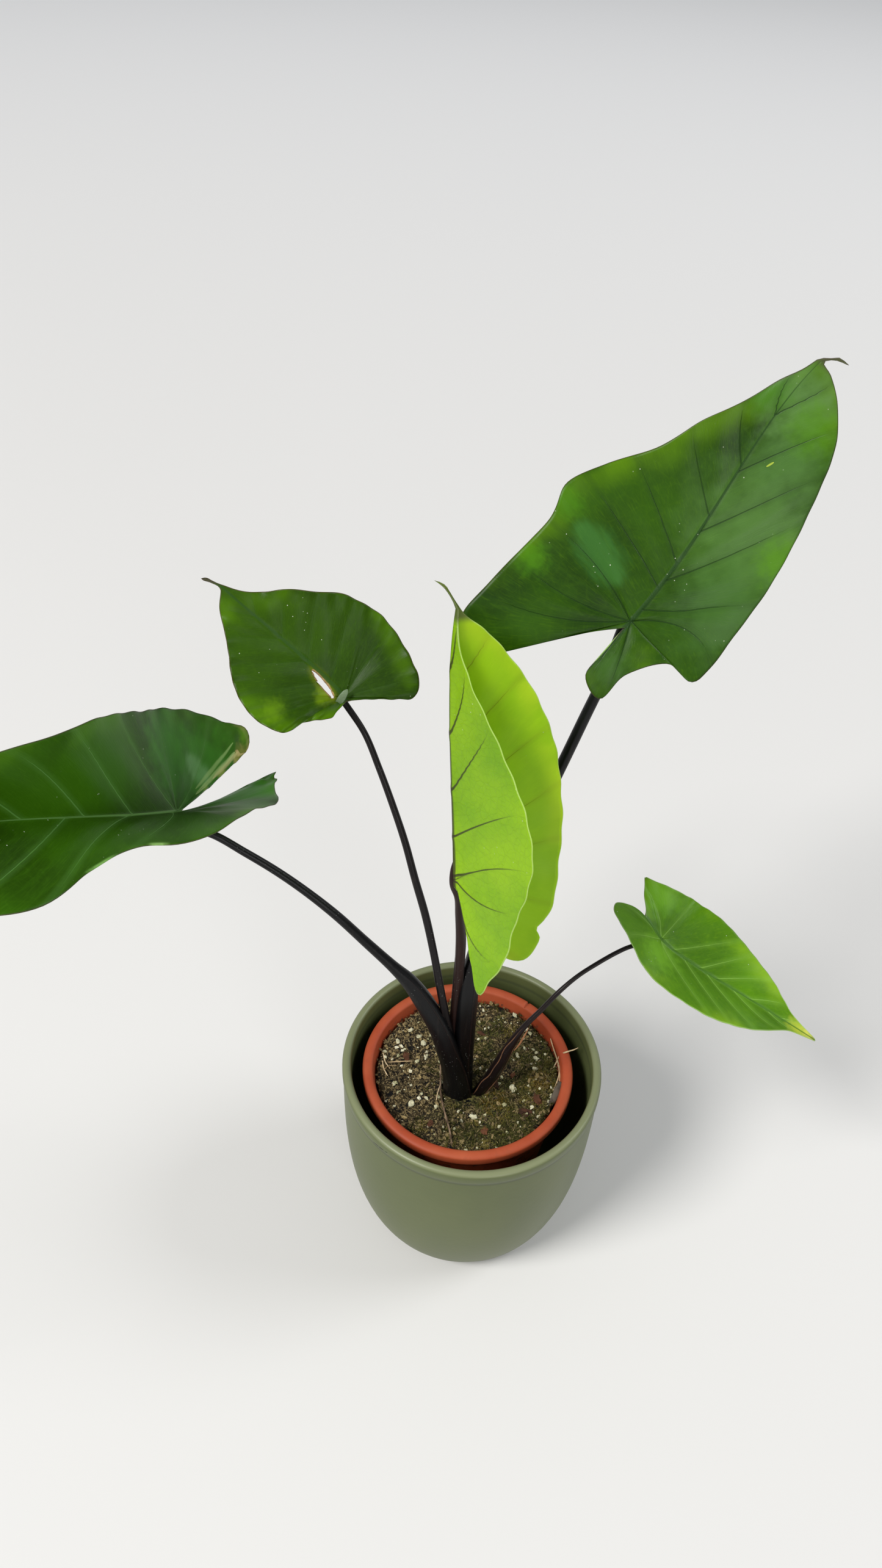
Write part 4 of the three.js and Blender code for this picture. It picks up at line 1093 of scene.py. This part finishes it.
def upper_finish(name, leaf):
    """The upper face: its greens, patches, streaks, torn edge, veins, margin, worn places and specks.
    Some patches and streaks are painted sheen and painted light, and the large right blade's dark
    veins are painted shade.
    """
    s = Leafy.start(name + "_upper")
    deep, green, edge = leaf["greens"]
    vein, strength = leaf["vein"]
    cloud, streak, fine = s.grain(17, 4), s.streaks(9, 5), s.streaks(34, 9, 2)
    inward, veins = s.field("inward"), s.side_vein(0.42) * strength
    torn = s.field("torn") + (s.grain(300, 3) - 0.5) * 1.4
    worn = (inward + (cloud - 0.5) * 5).rise(3.2, 0.6) * 0.85
    speck = s.spots(330, 0.1) * s.grain(48, 2).rise(0.55, 0.65)
    colour = s.layers(
        deep, (cloud.rise(0.35, 0.65), green), (streak.rise(0.45, 0.75) * 0.35, green),
        (fine.rise(0.5, 0.8) * 0.16, edge),
        (inward.rise(14, 1) * s.grain(26, 3).rise(0.45, 0.65) * 0.6, edge),
        (s.net(0.3) * 0.03 + s.net(0.12) * 0.03, edge),
        # Some patches are painted sheen and painted light, given in the leaf table.
        *[(s.patch(*place) * 0.65, shade) for *place, shade in leaf["patches"]],
        # The first streak of the large right blade and of the lower left blade is painted sheen.
        *[(s.streak(*place) * 0.6, shade) for *place, shade in leaf.get("streaks", [])],
        (torn.rise(4, 0.5) * 0.25, "8a9410"), (torn.rise(0.8, 0.2) * 0.85, "a08058"),
        # Vein colour: the veins' own tone, but on the large right blade dark painted shade in the sunk
        # veins.
        (s.vein_far().rise(2.6, 0.4) * (0.25 * strength), vein), (veins, vein),
        (s.rib(1.3) * 0.85, leaf["rib"]), (inward.rise(0.5, 0.2) * 0.7, leaf["rim"]),
        *[(s.patch(*place) * worn, shade) for *place, shade in leaf.get("worn", [])],
        s.tip(leaf), (speck * 0.8, "cdd3bd"))
    skin = s.bump(fine * 0.3 + streak * 0.25 - veins, 0.2)
    rough = 0.3 + cloud * 0.12 + streak * 0.08 + speck * 0.2
    return s.waxy(colour, rough, leaf["gloss"], skin, edge, leaf["through"])


def lower_finish(name, leaf):
    """The underside, paler and duller, with its raised veins."""
    s = Leafy.start(name + "_lower")
    green, pale = leaf["under"]
    vein = leaf.get("under_vein", pale)
    cloud, streak, net = s.grain(20, 4), s.streaks(12, 6), s.net(0.3)
    speck = s.spots(300, 0.1) * s.grain(40, 2).rise(0.5, 0.6)
    colour = s.layers(
        green, (cloud.rise(0.35, 0.65), pale), (streak.rise(0.45, 0.75) * 0.3, pale),
        (net * 0.05 + s.net(0.12) * 0.06, vein), (s.side_vein(0.75) * 0.9, vein),
        (s.rib(1.6) * 0.9, vein), (s.field("inward").rise(0.7, 0.3) * 0.8, leaf["rim"]),
        s.tip(leaf), (speck * 0.7, "dfe8c8"))
    skin = s.bump(streak * 0.4 + net * 0.3 + s.grain(420, 3) * 0.3, 0.2)
    return s.waxy(colour, 0.3 + 0.14 * cloud + 0.1 * streak, 0.4, skin, green, leaf["through"])


for name, leaf in LEAVES.items():
    points, faces, below, fields = blade_mesh(leaf)
    add_piece("blade_" + name, points, faces, [upper_finish(name, leaf), lower_finish(name, leaf)],
              leaf["slot"], ["leaf_" + name], fields, below)
add_piece("turned_lobe_corner", *tube(curve_through(TURNED_CORNER, 18), 14, flat=0.13),
          [crumb_finish("pale_underside", "56684b", "7d9070", 200, 0.55)], "mature_leaf")


# Leaf stalks
# Five round black fleshy stalks, each grown from its sheath up to the blade's midrib. The skin
# is smooth and shining, with faint streaks, and has a purple tinge on the younger stalks.
STALKS = {
    "large_right": {
        "route": [(-5, -9, 96, 7), (-6, -8, 142, 6), (-6, -7, 168, 5.8), (-6, -6, 193, 5.6),
            (-5, -4, 213, 4.6), (-2, -1, 232, 3.7), (8, 6, 266, 3.1), (20, 14, 304, 2.9),
            (31, 22, 335, 2.7), (38, 26, 357, 2.6), (44.5, 28.5, 379, 2.5)],
        "sheath_end": 5, "flat": 0.85, "purple": 0, "slot": "black_stalk"},
    "young": {
        "route": [(-6, -8, 104, 4), (-12, -7, 166, 2.4), (-12, -7, 183, 2.4), (-11.5, -7, 206, 2.5),
            (-11.5, -8, 227, 2.6), (-12, -10, 245, 2.6), (-13.5, -13.5, 264, 2.2),
            (-15, -17, 280, 1.8)],
        "sheath_end": 4, "flat": 1, "purple": 1, "slot": "purple_stalk", "joint": (2.8, 2)},
    "upper_left": {
        "route": [(-7, -9, 104, 4), (-13, -10, 160, 2.4), (-17, -10, 182, 2.2), (-21, -9, 205, 2.1),
            (-25, -7, 228, 2), (-30, -2, 249.5, 2), (-36, 3, 270, 1.9), (-41.5, 9, 288.5, 1.8),
            (-48, 15, 306.5, 1.7), (-55, 21, 324, 1.6), (-62.5, 26, 341.5, 1.5)],
        "sheath_end": 3, "flat": 1, "purple": 0.15, "slot": "black_stalk"},
    "lower_left": {
        "route": [(-5, -10, 96, 8.4), (-7, -10, 113, 8.2), (-10, -11, 136, 7.2),
            (-15, -12, 156, 6.2), (-20, -12, 173, 5.6), (-29, -11, 194, 5.2), (-37, -10, 208, 4.2),
            (-45, -9.5, 218, 3.1), (-59, -8, 234, 2.6), (-74, -7, 252, 2.4), (-89, -5, 266, 2.2),
            (-103, -4, 278, 2.1), (-117.5, -3, 288.5, 2), (-131, -2, 297.5, 1.9)],
        "sheath_end": 7, "flat": 0.85, "purple": 0, "slot": "black_stalk"},
    "small_right": {
        "route": [(0, -10, 98, 3.4), (4, -10, 112, 3.4), (10, -10, 127, 3.7), (15, -9.5, 143, 3.4),
            (20, -8.5, 159, 2.4), (26, -7, 172, 1.6), (34, -3.5, 182, 1.4), (43, 1, 193, 1.3),
            (52, 6, 200, 1.2), (62, 11, 205, 1.2), (72, 15, 210, 1.2), (79, 17, 213, 1.2)],
        "sheath_end": 5, "flat": 0.8, "purple": 0.35, "slot": "black_stalk"},
}
CLEARANCE = 0.35
STALK_SAMPLES = 240
STALK_SIDES = 26
OVERLAP = 10


def stalk_line(name):
    """Samples along a whole stalk from the soil to its blade, and where its sheath ends."""
    stalk, blade = STALKS[name], Blade(LEAVES[name])
    route = [np.array(place, float) for place in stalk["route"]]
    centre, along, normal, _ = blade.frame(0.0)
    width = route[-1][3]
    arrival = unit(centre - route[-1][:3])
    clear = 0.8 + MIDRIB_RIDGE + CLEARANCE + width * math.sqrt(1 - float(arrival @ normal) ** 2)
    behind, under = stalk.get("joint", (0, clear))
    route.append(np.array([*(centre - along * behind - normal * under), width]))
    for ahead, deep, part in ((4, 0.6 + width * 0.7, 0.8), (10, 0.9, 0.3)):
        place, _, normal, _ = blade.frame(ahead)
        route.append(np.array([*(place - normal * deep), width * part]))
    line = curve_through(route, STALK_SAMPLES)
    place = route[stalk["sheath_end"]][:3]
    return line, int(np.argmin(np.linalg.norm(line[:, :3] - place, axis=1)))


def skin_finish():
    s = Shade.start("stalk_skin")
    cloud, streak = s.grain(55, 4, (1, 1, 0.3)), s.grain(420, 3, (1, 1, 0.06))
    speck = s.spots(620, 0.13) * s.grain(38, 2).rise(0.54, 0.62)
    colour = s.layers("020203", (cloud.rise(0.35, 0.7), "0a0a0c"),
                      (s.field("tint") * (0.75 + streak * 0.5), "22120f"),
                      (streak.rise(0.6, 0.8) * 0.3, "2e2722"), (speck * 0.7, "8f938c"))
    skin = s.bump(streak * 0.7 + s.grain(1400, 2) * 0.3, 0.15)
    return s.end(s.shell(colour, 0.3 + 0.14 * cloud + 0.2 * speck, 0.22, skin))


stalk_skin = skin_finish()
lines = {}
for name, stalk in STALKS.items():
    lines[name] = line, cut = stalk_line(name)
    above = line[cut - OVERLAP:].copy()
    above[:, 3] *= np.clip(0.8 + 0.2 * np.arange(len(above)) / OVERLAP, 0, 1)
    shaft = Heap()
    shaft.add(*tube(above, STALK_SIDES), stalk["purple"])
    shaft.piece("stalk_" + name, stalk_skin, stalk["slot"], ["petiole_" + name])


# Stem and sheaths
# The short black stem stands in the soil and is hidden by the sheaths, the broad lower parts of
# the leaf stalks that wrap one another. Each sheath is open on one side, with thin raised edges,
# which have dried pale brown on the smallest leaf's sheath. Grown in one piece with the stalks.
STEM_RADIUS = 12.65
STEM_DEPTH = 22
STEM_SIDES = 48
SHEATH_SIDES = 40
SHEATH_EDGES = {
    "large_right": [(-58, 0, 0.32)],
    "young": [(-140, -30, 0.3), (-35, 10, 0.3)],
    "upper_left": [(-125, 10, 0.28)],
    "lower_left": [(-28, -22, 0.42), (118, 10, 0.4)],
    "small_right": [(-150, 25, 0.3), (-38, 30, 0.3)],
}
BRACT = [(21.5, -11.6, 156, 0.2), (23.8, -11.2, 161, 0.5), (26, -10, 167, 0.5),
         (28.2, -8.6, 173, 0.12)]


def sheath_mesh():
    """The stem with all sheaths, and the dried edges of the smallest leaf's sheath."""
    stem, dried = Heap(), Heap()
    profile = [(STEM_RADIUS - 2.4, SOIL_Z - STEM_DEPTH), (STEM_RADIUS, SOIL_Z - 3),
               (STEM_RADIUS - 0.6, SOIL_Z - 0.6), (STEM_RADIUS - 3, SOIL_Z + 0.2)]
    stem.add(*ring_mesh([circle(around(STEM_SIDES), *place, STEM_CENTRE) for place in profile]))
    for name, (line, cut) in lines.items():
        stalk = STALKS[name]
        lower = line[:cut + OVERLAP].copy()
        part = np.minimum(1, np.arange(len(lower)) / cut)
        lower[cut:, 3] *= np.linspace(1, 0.8, OVERLAP)
        flat = stalk["flat"] + (1 - stalk["flat"]) * part
        fading = np.clip((1 - part) * 5, 0, 1)
        across, front = axes(lower)

        def edge_turn(start, twist):
            return np.radians(start + twist * part)

        def wrapped(i, turns):
            """A sheath's cross-section, with a shallow valley beside each raised edge."""
            reach = np.ones(len(turns))
            for start, twist, _ in SHEATH_EDGES[name]:
                near = (turns - edge_turn(start, twist)[i] + math.pi) % (2 * math.pi) - math.pi
                inside = near if start < -90 or start > 90 else -near
                reach += fading[i] * (0.05 * hill(near, 0.2) - 0.1 * hill(inside - 0.4, 0.28))
            return reach

        purple = stalk["purple"] * part ** 0.5
        tints = [*np.repeat(purple, SHEATH_SIDES), 0, purple[-1]]
        stem.add(*tube(lower, SHEATH_SIDES, flat, wrapped), tints)
        for start, twist, size in SHEATH_EDGES[name]:
            turn = edge_turn(start, twist)
            if name == "small_right":
                turn = turn + 0.16 * np.sin(14 * part) + 0.08 * np.sin(31 * part)
            out = lower[:, 3] * (1.03 + 0.02 * np.sin(9 * part))
            edge = lower.copy()
            edge[:, :3] += across * (out * np.cos(turn))[:, None]
            edge[:, :3] += front * (out * flat * np.sin(turn))[:, None]
            edge[:, 3] = size * np.clip((1 - part) * 6, 0.1, 1)
            shown = edge[int(0.12 * cut):cut]
            (dried if name == "small_right" else stem).add(*tube(shown, 8), 0.3)
    return stem, dried


stem, dried = sheath_mesh()
dried.add(*tube(curve_through(BRACT, 20), 10, 0.4), 1.0)
stem.piece("stem_and_sheaths", stalk_skin, "black_stalk", ["stem_base"])
dried.piece("dried_sheath_edges", crumb_finish("dried_edge", "2c211b", "8a5c3a", 260),
            "dry_stalk")


# Floor, light and camera
# A pale floor, painted lighter towards the back as painted light against the lamps' falloff, and
# soft studio light from the front left, seen from the height and angle of the photograph. None of
# these belong to the plant.
FLOOR_SIZE = 30
CAMERA_PLACE = (-0.0257, -0.3998, 0.6835)
CAMERA_DOWN = 41.09
CAMERA_ROLL = 2.99
FOCAL_PIXELS = 1930
IMAGE_HEIGHT = 2569
SENSOR = 36

half = FLOOR_SIZE / 2 / MM
corners = [(-half, -half, 0), (half, -half, 0), (half, half, 0), (-half, half, 0)]
floor = add_object("floor", new_mesh("floor", corners, [(0, 1, 2, 3)]))
s = Shade.start("floor")
# Painted light: the floor grows lighter towards the back to make up for the lamps' falloff.
pale = s.layers("cac9c7", (s.place(1).rise(0.2, 5), "f4f4f4"))
floor.data.materials.append(s.end(s.shell(pale, 0.8, 0.5)))


def soft_light(name, place, target, size, power, warm):
    lamp = bpy.data.lights.new(name, "AREA")
    lamp.shape, lamp.size, lamp.energy, lamp.color = "DISK", size, power, warm
    light = add_object(name, lamp)
    light.location = place
    light.rotation_euler = (Vector(target) - Vector(place)).to_track_quat("-Z", "Y").to_euler()


soft_light("key", (-3.4, -2.4, 4.6), (0, 0, 0.25), 2.2, 400, (1, 0.985, 0.96))
soft_light("window", (1.6, -3.9, 1.3), (0.1, 0, 0.4), 1.6, 45, (1, 1, 1))
soft_light("fill", (3.8, 0.6, 3.2), (0, 0, 0.25), 2.4, 110, (0.97, 0.985, 1))

world = bpy.data.worlds.new("studio")
bpy.context.scene.world = world
world.use_nodes = True
sky = world.node_tree.nodes["Background"].inputs
sky[0].default_value, sky[1].default_value = (0.9, 0.92, 0.95, 1), 0.42
bpy.context.scene.view_settings.view_transform = "Standard"

lens = bpy.data.cameras.new("camera")
lens.sensor_width, lens.lens = SENSOR, FOCAL_PIXELS * SENSOR / IMAGE_HEIGHT
lens.clip_start, lens.clip_end = 0.01, 100
camera = add_object("camera", lens)
camera.matrix_world = (Matrix.Translation(CAMERA_PLACE)
                       @ Matrix.Rotation(math.radians(90 - CAMERA_DOWN), 4, "X")
                       @ Matrix.Rotation(math.radians(CAMERA_ROLL), 4, "Z"))
bpy.context.scene.camera = camera
